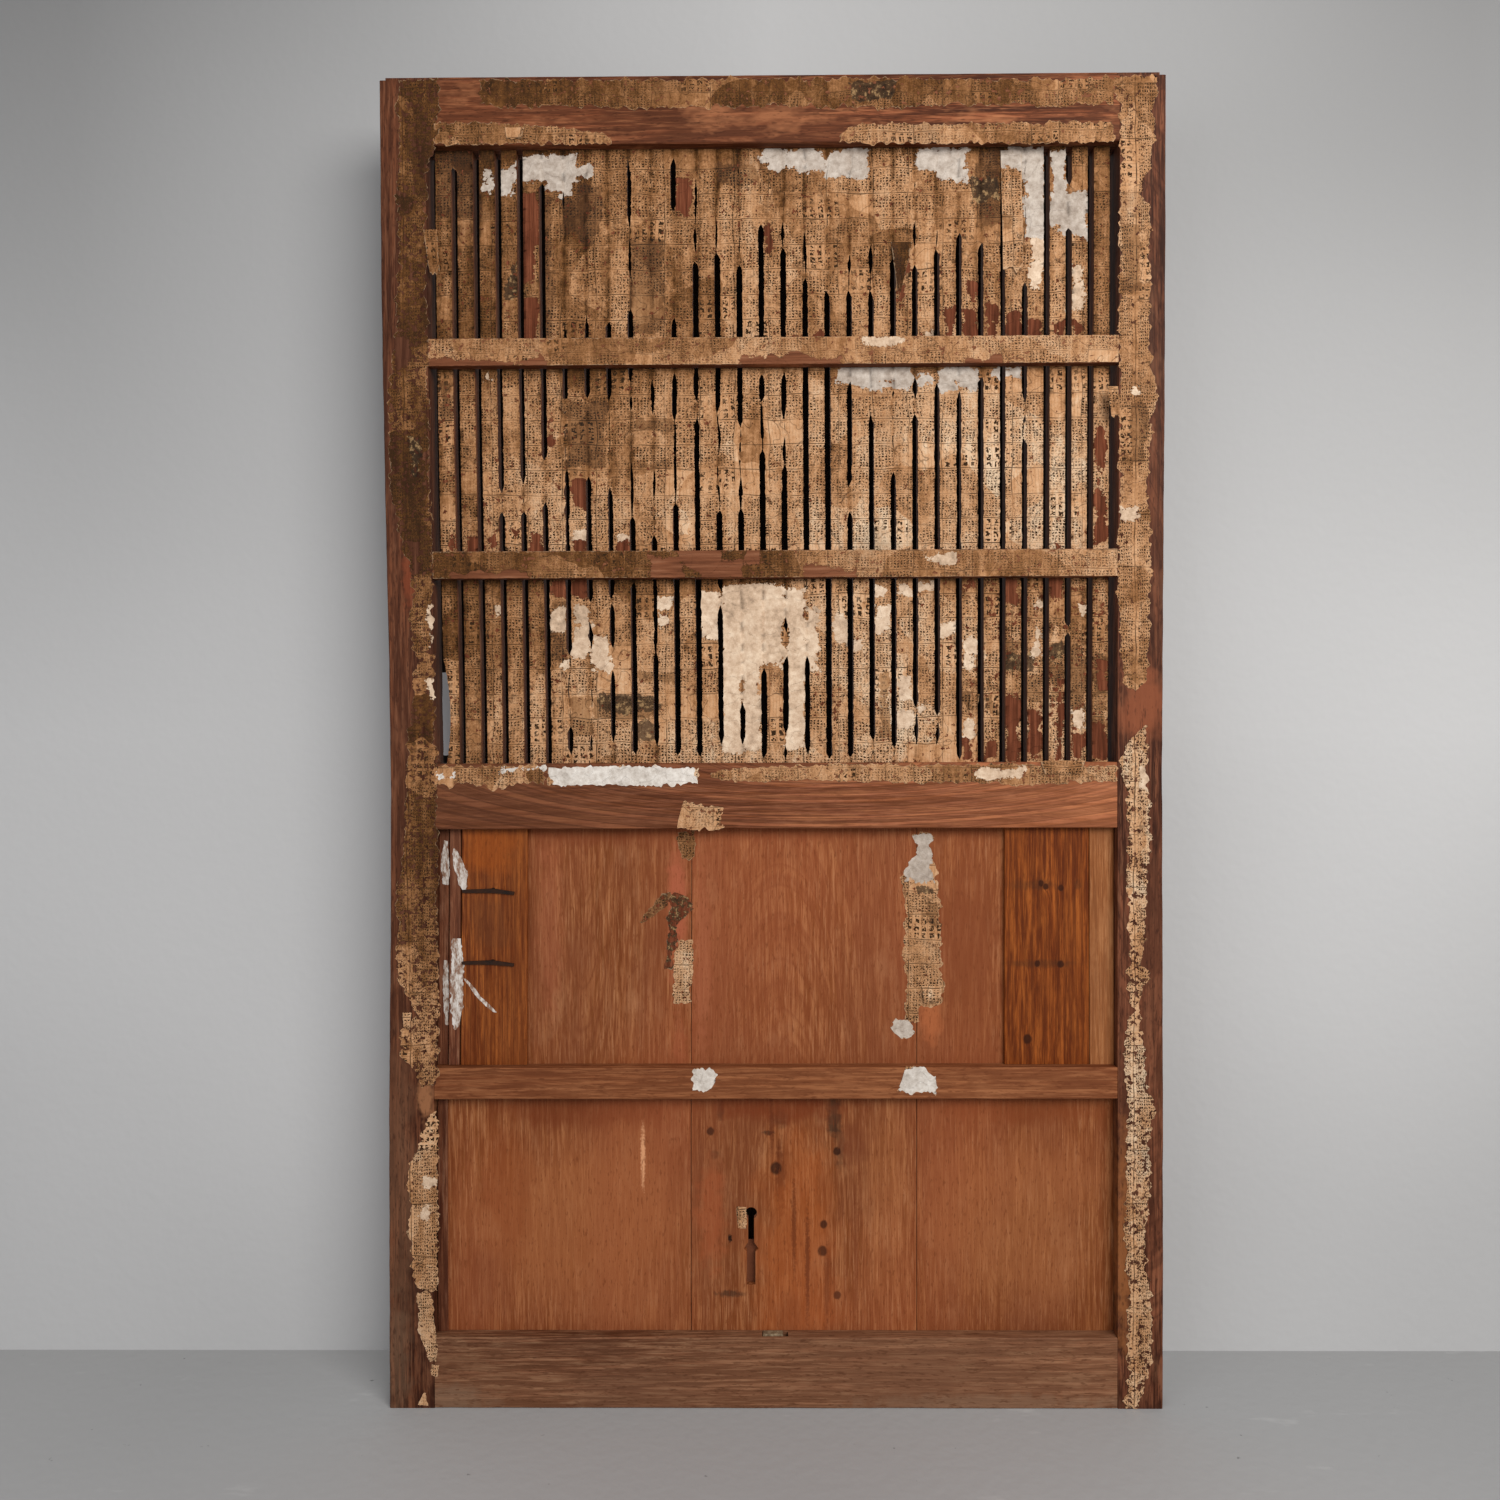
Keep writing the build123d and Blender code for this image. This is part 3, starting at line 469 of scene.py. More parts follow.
def paperMaterial(look):
    material, tree = newMaterial(look["name"])
    coords = stretch(tree)
    mottle = noiseNode(tree, coords, 120, 4, 0.7)
    blotch = noiseNode(tree, coords, 11, 3, 0.62)
    streaks = noiseNode(tree, stretch(tree, (1, 1, 0.14)), 90, 2, 0.6)
    ragged = noiseNode(tree, coords, 150, 3, 0.65)
    raggedWide = noiseNode(tree, coords, 34, 1.5, 0.5)
    grit = noiseNode(tree, coords, 600, 1, 0.5)
    bent = bend(tree, coords, 30.0, (0.03, 0.03, 0.03))
    scraps = addNode(tree, "ShaderNodeTexVoronoi", {"Vector": bent, "Scale": look["scrapScale"]})
    scrap = addNode(tree, "ShaderNodeSeparateColor", {"Color": scraps.outputs["Color"]}).outputs[0]

    def spread(value, amount, base):
        return mathNode(tree, "MULTIPLY_ADD", mathNode(tree, "SUBTRACT", value, 0.5), amount, base)

    # inside a field of the sheet, with a torn edge
    def inside(layer):
        torn = spread(raggedWide, 26.0, spread(ragged, 20.0, attribute(tree, layer)))
        return mathNode(tree, "MULTIPLY", torn, 2.0, clamp=True)

    tone = attribute(tree, "tone")
    for value, amount in (
        (mottle, 0.5), (blotch, 0.28), (streaks, 0.45), (grit, 0.25), (scrap, look["scrapContrast"]),
    ):
        tone = spread(value, amount, tone)
    tint = ramp(tree, tone, [
        (0.0, "#38210f"), (0.2, "#65401f"), (0.4, "#976943"), (0.56, "#bc8b62"), (0.74, "#cfa37c"),
        (0.95, "#e0c3a3"),
    ])
    ink, chance = printMarks(tree, look)
    inkShare = mathNode(tree, "MULTIPLY", ink,
                        mathNode(tree, "MULTIPLY_ADD", chance, 0.35, look["inkDepth"]))
    tint = blendColour(tree, inkShare, tint, "#33210f")

    secondTint = ramp(tree, tone, [(0.2, "#4d301b"), (0.5, "#7d5534"), (0.8, "#a3764e")])
    secondTint = blendColour(tree, inkShare, secondTint, "#2a1e15")
    tint = layOver(tree, tint, inside("second"), 0.85, secondTint)
    darkTint = ramp(tree, mottle, [(0.38, "#201913"), (0.56, "#3f3021"), (0.62, "#9a7c56")])
    tint = layOver(tree, tint, inside("dark"), 0.8, darkTint)
    stain = ramp(tree, blotch, [(0.6, 0.0), (0.74, 1.0)])
    tint = layOver(tree, tint, stain, look["stainDepth"], "#3c2413")
    # painted shade along thin crease lines; the same lines are pressed into the bump
    creaseNoise = mathNode(tree, "ABSOLUTE", mathNode(tree, "SUBTRACT", raggedWide, 0.5))
    shadedCreases = mathNode(tree, "LESS_THAN", creaseNoise, 0.006)
    tint = layOver(tree, tint, shadedCreases, 0.45, "#3a2616")
    whiteShare = inside("white")
    whiteTone = spread(mottle, 1.0, spread(blotch, 0.8, 0.55))
    whiteTint = ramp(tree, whiteTone, [(0.2, "#8a7460"), (0.5, "#c8ab90"), (0.8, "#e8d0b6")])
    tint = blendColour(tree, whiteShare, tint, whiteTint)
    greyShare = inside("grey")
    greyTint = ramp(tree, whiteTone, list(zip((0.12, 0.45, 0.8), look["greys"])))
    tint = blendColour(tree, greyShare, tint, greyTint)
    rim = mathNode(tree, "GREATER_THAN", spread(ragged, 2.4, attribute(tree, "rim")), 0.86)
    tint = layOver(tree, tint, rim, 0.3, "#cfae8c")

    # wood shows where the paper is gone in fields and in small flakes
    wood = {**anyWood, "along": look["along"], "ringMm": 5, "figure": 0.03}
    rings, _, grainStreaks, _ = grainParts(tree, wood)
    woodStops = [(0.3, look["woodDark"]), (0.5, look["woodMid"]), (0.7, look["woodLight"])]
    woodTint = layOver(tree, ramp(tree, grainStreaks, woodStops), rings, 0.5, look["woodDark"])
    flakeNoise = mathNode(tree, "MULTIPLY_ADD", mottle, 0.45, mathNode(tree, "MULTIPLY", ragged, 0.55))
    flaked = mathNode(tree, "LESS_THAN", flakeNoise, attribute(tree, "flake"))
    covered = mathNode(tree, "MAXIMUM", whiteShare, greyShare)
    flaked = mathNode(tree, "MULTIPLY", flaked, mathNode(tree, "SUBTRACT", 1.0, covered))
    bareShare = mathNode(tree, "MAXIMUM", inside("bare"), flaked)
    tint = blendColour(tree, bareShare, tint, woodTint)
    layers = mathNode(tree, "MULTIPLY_ADD", whiteShare, 0.5, mathNode(tree, "MULTIPLY", bareShare, -1.0))
    height = mathNode(tree, "MULTIPLY_ADD", mottle, 1.1, layers)
    height = mathNode(tree, "MULTIPLY_ADD", shadedCreases, -0.5, height)
    height = mathNode(tree, "MULTIPLY_ADD", mathNode(tree, "ADD", grit, ragged), 0.25, height)
    finishSurface(tree, tint, 0.82, height, look["bump"] * mm)
    return material


baySheet = {
    "name": "torn newsprint on the bars", "along": "z", "printTurned": False, "blockMm": (46.0, 33.0),
    "letterMm": (4.4, 3.6), "scrapScale": 12.0, "scrapContrast": 0.26, "inkDepth": 0.95, "stainDepth": 0.3,
    "woodDark": "#43200f", "woodMid": "#6b3823", "woodLight": "#8f5439", "bump": 0.7,
    "greys": ("#75675b", "#a99a8d", "#d0c4b8"),
}
newsprint = paperMaterial(baySheet)
stilePaper = paperMaterial({
    **baySheet, "name": "torn newsprint on the stiles", "printTurned": True, "blockMm": (70.0, 60.0),
    "letterMm": (4.4, 3.0), "scrapScale": 16.0, "woodDark": "#34180d", "woodMid": "#523020",
    "woodLight": "#6d4431",
})
railPaper = paperMaterial({
    **baySheet, "name": "torn newsprint on the rails", "along": "x", "blockMm": (38.0, 26.0),
    "inkDepth": 0.7, "greys": ("#8d8277", "#c6bcb2", "#ebe4dc"), "woodDark": "#5a3320",
    "woodMid": "#7f4d33", "woodLight": "#97664a",
})


def paintMaterial():
    material, tree = newMaterial("flaking limewash")
    coords = stretch(tree, (1, 1, 0.35))
    flakes = noiseNode(tree, coords, 230, 5, 0.7)
    tint = ramp(tree, flakes, [(0.42, "#8a6a58"), (0.5, "#b9aca2"), (0.62, "#d9d2cc")])
    finishSurface(tree, tint, 0.8, flakes, 0.3 * mm)
    return material


limewash = paintMaterial()
print("materials made")


# the leaf has sagged: its left side bows inwards by about 7 mm and its right side by 2 mm
bowLeft, bowRight = 7.5 * mm, -2.4 * mm
bowMiddle, bowSpan = 0.85, 0.4
leafHalf = 0.515


def bowed(x, z):
    swell = math.exp(-((z - bowMiddle) / bowSpan) ** 2)
    share = (x + leafHalf) / (2 * leafHalf)
    return x + swell * (bowLeft + (bowRight - bowLeft) * share)


# pieces of wood: the solid's own form with eased, worn and slightly wavy edges

def meshObject(name, bm, material):
    mesh = bpy.data.meshes.new(name)
    bm.to_mesh(mesh)
    bm.free()
    mesh.materials.append(material)
    thing = bpy.data.objects.new(name, mesh)
    bpy.context.scene.collection.objects.link(thing)
    return thing


def makePiece(name, bm, material, nodes=(), body="leaf", smooth=False):
    for vert in bm.verts:
        vert.co.x = bowed(vert.co.x, vert.co.z)
    piece = meshObject(name, bm, material)
    for polygon in piece.data.polygons:
        polygon.use_smooth = smooth
    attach(piece, body)
    if nodes:
        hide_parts(*nodes)
    return piece


def solidMesh(node):
    bm = bmesh.new()
    bm.from_mesh(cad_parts[node].data)
    bmesh.ops.remove_doubles(bm, verts=bm.verts, dist=0.02 * mm)
    return bm


# edge and wear in mm; the piece is cut across every stepMm so that its edges can wander
def dressWood(node, material, along, edge=1.0, wear=0.5, stepMm=16, body="leaf"):
    bm = solidMesh(node)
    bmesh.ops.dissolve_limit(bm, angle_limit=math.radians(1), verts=bm.verts, edges=bm.edges)
    sharp = [e for e in bm.edges if len(e.link_faces) == 2 and e.calc_face_angle(0) > math.radians(40)]
    bmesh.ops.bevel(
        bm, geom=sharp, offset=edge * mm, offset_type="OFFSET", segments=2, profile=0.5,
        affect="EDGES", clamp_overlap=True, material=-1,
    )
    low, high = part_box(node)
    axis = 0 if along == "x" else 2
    direction = Vector((1, 0, 0)) if along == "x" else Vector((0, 0, 1))
    count = max(2, int((high[axis] - low[axis]) / (stepMm * mm)))
    for i in range(1, count):
        place = Vector((0, 0, 0))
        place[axis] = low[axis] + (high[axis] - low[axis]) * i / count
        geometry = bm.verts[:] + bm.edges[:] + bm.faces[:]
        bmesh.ops.bisect_plane(bm, geom=geometry, dist=0.001 * mm, plane_co=place, plane_no=direction)
    centre = (low + high) / 2
    for vert in bm.verts:
        pull = (0.5 + 0.5 * rough(*vert.co, 0.05)) ** 2 + 0.6 * max(0, rough(*vert.co, 0.013))
        for k in range(3):
            if k == axis:
                continue
            side = (vert.co[k] - centre[k]) / max(1e-6, (high[k] - low[k]) / 2)
            if abs(side) > 0.9:
                vert.co[k] -= math.copysign(pull * wear * mm, side)
    bmesh.ops.recalc_face_normals(bm, faces=bm.faces)
    return makePiece(f"{node}_worn", bm, material, [node], body)


for node, look in frameWoods.items():
    worn = 0.8 if look["along"] == "z" else 0.5
    dressWood(node, woodMaterial(look), look["along"], 0.5, worn)
for i in range(barCount):
    dressWood(f"lattice_bar_{i + 1:02d}", barWood, "z", 0.4, 0.5)
for node, material in boardWoods.items():
    dressWood(node, material, "z", 0.5, 0.25, 40)
for node in ("edge_strip_lower", "edge_strip_upper"):
    dressWood(node, stripWood, "z", 0.4, 0.3)
for node, material in cedarWoods.items():
    dressWood(node, material, "z", 0.4, 0.3, 40)
dressWood("narrow_strip", stripWood, "z", 0.4, 0.3)
dressWood("cedar_strip_right", paleWood, "z", 0.4, 0.3, 40)
dressWood("drop_bolt", boltWood, "z", 0.4, 0.3, 20, "bolt")
dressWood("keyhole_plate", rustyIron, "z", 0.4, 0.2, 10)


def dressIron(node, material):
    bm = solidMesh(node)
    longEdges = [e for e in bm.edges if e.calc_length() > 8 * mm]
    bmesh.ops.subdivide_edges(bm, edges=longEdges, cuts=3, use_grid_fill=True)
    for vert in bm.verts:
        vert.co += vert.normal * 0.25 * mm * rough(*vert.co, 0.006)
    return makePiece(f"{node}_forged", bm, material, [node])


dressIron("pull_handle", forgedIron)
print("wood dressed")


# torn newspaper over the bars
# tears: gap number to (top, bottom, share of the gap that is open), mm down from the bay's top
# fields: (left, right, top, bottom) in mm, left and right from the leaf's centre line

whole = [(0, 300, 1.0)]
upperBay = {
    "tears": {
        1: [(23, 300, 1)], 2: whole, 3: whole, 4: whole, 5: [(45, 300, 1)],
        6: [(54, 80, .5), (180, 186, .2), (228, 300, .5)], 7: [(217, 300, .6)],
        8: [(19, 25, .4), (104, 132, .3), (183, 203, .2), (226, 300, .9)],
        9: [(13, 104, .6), (116, 173, .45), (181, 197, .2), (210, 300, .9)],
        10: [(10, 60, .15), (73, 83, .5), (246, 300, .8)],
        11: [(12, 82, .85), (86, 103, .15), (117, 124, .3), (130, 157, .15), (175, 205, .15),
             (221, 300, .8)],
        12: [(35, 101, .4), (101, 136, .6), (148, 300, .95)], 13: [(87, 140, .4), (136, 300, .9)],
        14: [(23, 35, .5), (112, 150, .3), (153, 300, .95)], 15: [(57, 80, .2), (99, 300, .85)],
        16: [(40, 96, .15), (96, 130, .6), (130, 300, .9)], 17: [(107, 167, .45), (170, 300, .85)],
        18: [(13, 180, .1), (187, 300, .9)],
        19: [(98, 130, .15), (139, 170, .6), (165, 190, .35), (187, 300, .85)],
        20: [(30, 40, .2), (126, 167, .7), (162, 190, .25), (187, 300, .85)], 21: [(146, 300, .95)],
        22: [(44, 55, .5), (58, 90, .15), (94, 134, .5), (154, 300, .9)],
        23: [(60, 90, .15), (107, 134, .4), (134, 300, .9)], 24: [(53, 60, .4), (112, 300, .9)],
        25: [(60, 68, .4), (125, 300, .9)], 26: [(10, 35, .3), (35, 300, .75)],
        27: [(5, 178, .1), (178, 300, .9)], 28: [(0, 300, .95)],
        29: [(0, 51, .95), (90, 105, .2), (107, 300, 1)], 30: whole,
    },
    "bare": [
        (-333, -312, 57, 177), (-333, -311, 196, 250), (-128, -108, 40, 80), (-118, -106, 80, 97),
        (-9, -2, 98, 145), (165, 181, 133, 165), (165, 173, 160, 206), (230, 243, 209, 252),
        (262, 272, 175, 252), (251, 272, 208, 252), (280, 300, 207, 252), (310, 329, 211, 252),
        (338, 357, 228, 252), (370, 387, 232, 252), (398, 415, 233, 252), (-70, -50, 247, 252),
        (22, 36, 246, 252), (57, 66, 243, 252), (80, 92, 242, 252),
    ],
    "white": [
        (202, 215, 240, 252),
        (340, 360, 70, 150), (341, 356, 150, 190), (394, 413, 154, 213),
    ],
    "grey": [
        (-8, 72, 1, 30), (-19, 0, 8, 22), (72, 126, 1, 38), (192, 218, 0, 30), (220, 259, 0, 44),
        (-335, -255, 7, 44), (-302, -262, 34, 55), (-279, -263, 50, 62), (-258, -239, 16, 36),
        (-386, -370, 22, 55), (-362, -343, 23, 60), (333, 362, 2, 120), (318, 332, 0, 30),
        (367, 390, 5, 105), (380, 417, 60, 120),
    ],
    "second": [
        (-262, -224, 45, 95), (-280, -228, 62, 110), (-258, -242, 105, 125), (-306, -292, 60, 250),
        (-189, -143, 118, 242), (268, 301, 5, 105), (-75, -16, 20, 46), (-440, -385, 5, 90),
    ],
    "dark": [(-352, -338, 150, 200), (262, 300, 40, 75)],
    "tones": [(-450, .2), (-390, .27), (-330, .37), (-250, .44), (-150, .45), (0, .48), (150, .5),
              (300, .5), (450, .42)],
    "flakes": [(-450, .42), (-340, .41), (-200, .4), (200, .4), (450, .4)],
    "crumple": {1: 1, 2: 0.8, 3: 0.5},
}
middleBay = {
    "tears": {
        1: whole, 2: whole, 3: [(0, 163, .85), (163, 191, .2), (189, 300, .95)],
        4: [(0, 152, .8), (152, 190, .3), (188, 300, .95)],
        5: [(0, 120, .95), (122, 174, .15), (176, 300, .9)],
        6: [(0, 60, .8), (60, 131, .15), (131, 300, .7)], 7: [(0, 39, .9), (142, 300, .9)],
        8: [(0, 43, .8), (43, 156, .15), (156, 300, .8)],
        9: [(0, 18, .8), (35, 56, .7), (56, 122, .2), (122, 198, .45), (196, 300, .95)],
        10: [(12, 62, .6), (75, 95, .25), (131, 175, .5), (172, 222, .3), (220, 300, .9)],
        11: [(5, 70, .8), (66, 182, .4), (178, 300, .95)], 12: [(0, 45, .7), (42, 68, .25), (64, 300, .8)],
        13: [(0, 60, .8), (56, 118, .4), (112, 192, .3), (188, 300, .95)],
        14: [(0, 78, .85), (74, 148, .3), (142, 190, .55), (186, 300, .95)],
        15: [(8, 45, .9), (40, 112, .5), (108, 300, .9)],
        16: [(5, 68, .8), (64, 94, .2), (90, 132, .5), (128, 300, .9)], 17: [(0, 300, .9)],
        18: [(0, 300, .95)], 19: [(18, 159, .8), (190, 300, .85)], 20: [(36, 64, .3), (62, 300, .8)],
        21: [(30, 40, .7), (40, 140, .15), (138, 300, .85)],
        22: [(13, 42, .8), (40, 66, .2), (62, 300, .9)], 23: [(21, 300, .85)], 24: [(31, 300, .75)],
        25: [(13, 300, .9)], 26: [(0, 300, .85)], 27: [(0, 47, .8), (44, 98, .3), (94, 300, .85)],
        28: whole, 29: whole, 30: whole,
    },
    "bare": [
        (-267, -247, 143, 182), (-267, -247, 229, 243), (-208, -190, 230, 243), (-406, -390, 222, 243),
        (-378, -364, 214, 240), (-350, -334, 210, 226), (-321, -306, 216, 240), (-430, -421, 222, 240),
        (426, 441, 77, 233), (370, 384, 228, 243), (-299, -291, 45, 118),
    ],
    "white": [
        (-266, -247, 213, 227), (-207, -190, 218, 229), (-384, -373, 2, 14),
    ],
    "grey": [
        (82, 184, -4, 22), (112, 184, 15, 29), (192, 216, 8, 23), (216, 245, 0, 31), (245, 276, 0, 30),
        (288, 305, 0, 13), (310, 330, 0, 11),
    ],
    "second": [(-273, -223, 44, 129), (-182, -134, 70, 82), (-440, -426, 20, 70), (-180, -140, 122, 134)],
    "tones": [(-450, .42), (-380, .5), (-300, .54), (-200, .57), (-50, .62), (100, .66), (250, .73),
              (350, .71), (450, .66)],
    "flakes": [(-450, .42), (-200, .4), (200, .38), (450, .39)],
}
lowerBay = {
    "tears": {
        1: whole, 2: whole, 3: whole, 4: whole, 5: [(0, 300, .95)],
        6: [(0, 100, .85), (96, 116, .4), (110, 195, .15), (195, 232, .9)],
        7: [(0, 30, .9), (54, 93, .7), (110, 200, .15), (205, 231, .5)],
        8: [(0, 26, .9), (31, 92, .8), (90, 124, .2), (120, 217, .75)], 9: [(3, 233, .9)],
        10: [(0, 100, .6), (94, 222, .8)], 11: [(0, 234, .95)], 12: [(0, 236, .9)],
        13: [(0, 17, .8), (35, 220, .8)], 14: [(163, 220, .8)], 15: [(0, 8, .3), (118, 238, .9)],
        16: [(51, 71, .8), (102, 206, .85), (222, 240, .8)], 17: [(0, 19, .3), (102, 234, .8)],
        18: [(0, 239, .95)], 19: [(0, 237, .95)], 20: [(0, 215, .9), (226, 236, .6)],
        21: [(0, 225, .85), (228, 236, .7)], 22: [(0, 172, .85), (178, 222, .6)],
        23: [(0, 182, .9), (190, 222, .7)], 24: [(0, 240, .95)], 25: whole, 26: whole, 27: whole, 28: whole,
        29: [(0, 64, 1), (73, 300, 1)], 30: whole,
    },
    "bare": [
        (309, 327, 161, 243), (340, 356, 175, 243), (376, 386, 135, 240), (394, 413, 207, 243),
        (424, 442, 194, 243), (365, 384, 0, 24), (251, 268, 0, 17), (308, 327, 0, 30), (279, 297, 207, 243),
        (251, 262, 214, 240), (-295, -275, 0, 25), (-267, -248, 0, 25), (80, 88, 161, 190),
        (430, 442, 110, 150),
    ],
    "white": [
        (-369, -361, 35, 46), (-294, -273, 37, 68), (-285, -273, 106, 118), (-267, -240, 31, 62),
        (-265, -245, 59, 93), (-267, -255, 90, 103), (-239, -217, 73, 122), (-157, -132, 24, 43),
        (-152, -138, 41, 60), (-97, -73, 18, 76), (-69, 15, 4, 118), (-69, -42, 110, 230),
        (-40, -14, 109, 230), (16, 43, 10, 227), (43, 58, 38, 122), (83, 98, 42, 87), (136, 154, 12, 22),
        (136, 154, 37, 70), (163, 182, 3, 20), (168, 181, 131, 161), (159, 187, 174, 198),
        (188, 215, 4, 17), (191, 204, 168, 177), (224, 241, 59, 75), (251, 268, 80, 118),
        (252, 268, 184, 216), (344, 356, 64, 102), (351, 358, 28, 38), (408, 415, 33, 56),
        (-250, -244, 5, 20), (105, 117, 83, 93), (345, 355, 210, 226), (398, 412, 175, 200),
    ],
    "dark": [(-232, -150, 152, 174), (306, 345, 98, 122), (366, 384, 90, 108), (-180, -158, 186, 214)],
    "second": [
        (-242, -158, 157, 185), (-270, -243, 157, 206), (309, 327, 85, 120), (366, 384, 88, 165),
        (142, 154, 122, 207), (280, 292, 128, 175), (338, 356, 130, 165), (-178, -132, 122, 138),
        (395, 414, 90, 200), (424, 442, 100, 243), (-294, -274, 26, 112), (252, 268, 150, 176),
    ],
    "tones": [(-450, .38), (-350, .44), (-250, .48), (-150, .56), (-50, .6), (50, .66), (200, .7),
              (330, .65), (450, .56)],
    "flakes": [(-450, .41), (-200, .4), (200, .4), (300, .43), (450, .44)],
}


# value at x between the points, kept level beyond their ends
def interpolate(points, x):
    for (x0, v0), (x1, v1) in zip(points, points[1:]):
        if x <= x1:
            return v0 + (v1 - v0) * max(0.0, (x - x0) / (x1 - x0))
    return points[-1][1]


reach = 16.0      # how far from a field its edge is counted, in mm
cellMm = 2.6      # spacing of the points in a sheet
bayMm = 245       # about the height of a bay
lowestPaper = 0.6     # mm above the floor
tornFrom = 0.05       # share of a gap under which its paper counts as whole


# mm inside the nearest field, negative outside
def insideField(x, depth, fields):
    best = -reach
    for left, right, top, bottom in fields:
        dx = max(left - x, x - right)
        dz = max(top - depth, depth - bottom)
        if dx > reach or dz > reach:
            continue
        outside = math.hypot(max(dx, 0), max(dz, 0))
        best = max(best, -outside if outside > 0 else -max(dx, dz))
    return min(best, reach)


# share of a gap that is torn open at this depth, with wandering edges
def openShare(tears, gap, depth, seed):
    widest = 0.0
    for top, bottom, share in tears.get(gap, ()):
        top = -30 if top == 0 else top      # a tear from the very top has no narrow start
        inside = min(depth - top, bottom - depth)
        if inside > 0:
            taper = min(1.0, (inside / (5 + 34 * (1 - share))) ** 0.8)
            ragged = 0.55 * rough(gap * 3.1, depth / 10, seed, 1.0)
            ragged += 0.4 * rough(gap * 7.7, depth / 4, seed, 1.0)
            ragged = 1 + ragged * (0.12 if share > 0.97 else 0.4 if share > 0.74 else 1)
            patch = rough(gap * 5.3, depth / 13, seed + 30, 1.0)
            present = share > 0.35 or patch > -0.05     # narrow tears stop and start
            widest = max(widest, share * taper * ragged if present else 0.0)
    return min(widest, 1.0)


fieldNames = ("bare", "white", "second", "dark", "grey")
layerNames = ("tone", "flake", "rim", *fieldNames)


# writes a vertex's paper attributes; z is counted the way the sheet's fields are
def layDown(vert, layers, sheet, x, z, tone, flake, rim):
    vert[layers["tone"]] = tone
    vert[layers["flake"]] = flake
    vert[layers["rim"]] = rim
    for key in fieldNames:
        vert[layers[key]] = insideField(x, z, sheet.get(key, ()))


# the piece gone from the first bar's outer side
biteDepth, biteRise, biteHalf = 8.5 * mm, 63.4 * mm, 78 * mm


def tornBay(name, node, bay, seed):
    low, high = bays[name]
    rows = int((high - low) / (cellMm * mm))
    columns = []
    for i in range(barCount):
        columns += [("bar", i, across) for across in (0.0, 0.33, 0.67, 1.0)]
        if i < barCount - 1:
            columns += [("tearLeft", i, 1.0), ("tearRight", i, 0.0)]
    bm = bmesh.new()
    bmesh.ops.create_grid(bm, x_segments=len(columns) - 1, y_segments=rows, size=0.5)
    layers = {key: bm.verts.layers.float.new(key) for key in layerNames}
    mark = bm.verts.layers.int.new("column")
    opening = bm.verts.layers.float.new("opening")
    for vert in bm.verts:
        column = round((vert.co.x + 0.5) * (len(columns) - 1))
        kind, i, across = columns[column]
        z = low + (vert.co.y + 0.5) * (high - low)
        depth = (high - z) / mm
        gap = i + 1 if kind != "bar" or across > 0.9 else i
        share = openShare(bay["tears"], gap, depth, seed)
        barLeft, barRight = bars[i][0].x, bars[i][1].x
        if i == 0 and name == "lower":
            barLeft += max(0.0, biteDepth * (1 - ((z - low - biteRise) / biteHalf) ** 2))
        crumple = rough(column * 2.0, depth / 14, seed, 1.0)
        y = barFaceY - (0.45 + 0.3 * crumple) * mm      # just off the bars, and further off where crumpled
        y -= 2.4 * mm * max(0, rough(barLeft, z, seed + 3, 0.019)) * bay.get("crumple", {}).get(i + 1, 0)
        if kind == "bar":
            x = barLeft + (barRight - barLeft) * across
            if across in (0.0, 1.0):
                x += 0.9 * mm * rough(column, depth / 5, seed + 2, 1.0)
        else:
            nextLeft = bars[i + 1][0].x
            gapWidth = nextLeft - barRight
            lean = 0.5 + 0.45 * rough(i * 5.7, depth / 35, seed + 4, 1.0)     # which side keeps more paper
            closed = gapWidth * (1 - share)
            x = barRight + closed * lean if kind == "tearLeft" else nextLeft - closed * (1 - lean)
            x += 0.5 * mm * rough(column, depth / 3, seed + 6, 1.0) * (1 if share > tornFrom else 0)
            lift = max(0.0, rough(i * 2.3, depth / 22, seed + 8 + across, 1.0))
            if share <= tornFrom:       # whole paper sinks a little between the bars
                y += (1.0 + 0.8 * rough(i * 3.3, depth / 16, seed, 1.0)) * mm
            elif share < 0.98:          # torn edges stand out
                y -= 3.6 * lift * lift * mm
        vert.co = (x, y, z)
        vert[mark] = column
        vert[opening] = share
        seen = bowed(x, z) / mm
        tone = interpolate(bay["tones"], seen) + 0.1 * rough(i * 1.7, depth / 60, seed + 10, 1.0)
        tone += 0.09 * rough(i * 9.1, 0.5, seed, 1.0)
        tone -= 0.16 * max(0.0, 1 - depth / 26)     # dirt and painted shadow under the rail
        tone += 0.12 * (depth / bayMm - 0.4)        # and paler towards the foot
        # painted shade in the crease where the whole paper sinks between the bars
        tone -= 0.2 if kind != "bar" and share <= tornFrom else 0.0
        # darker along the bars' edges: dust, with painted shade where the edge turns into the gap
        tone -= 0.06 if kind == "bar" and across in (0.0, 1.0) else 0.0
        flake = interpolate(bay["flakes"], seen) + 0.03 * rough(i * 2.9, depth / 30, seed + 12, 1.0)
        rim = 1.3 * max(0, rough(i * 4.1, depth / 9, seed, 1.0)) if share > 0.5 and kind != "bar" else 0.0
        layDown(vert, layers, bay, seen, depth, tone, flake, rim)
    torn = []
    for face in bm.faces:
        kinds = {columns[v[mark]][0] for v in face.verts}
        if kinds == {"tearLeft", "tearRight"} and sum(v[opening] for v in face.verts) / 4 > tornFrom:
            torn.append(face)
    bmesh.ops.delete(bm, geom=torn, context="FACES")
    return makePiece(f"newsprint_{name}_bay", bm, newsprint, [node], smooth=True)


tornBay("upper", "paper_upper_bay", upperBay, 11)
tornBay("middle", "paper_middle_bay", middleBay, 23)
tornBay("lower", "paper_lower_bay", lowerBay, 37)
print("bays papered")


# newspaper left on the frame and down the board joints
# upright sheets in rows of (z, left, right), level ones in rows of (x, low, high), mm on the leaf's face

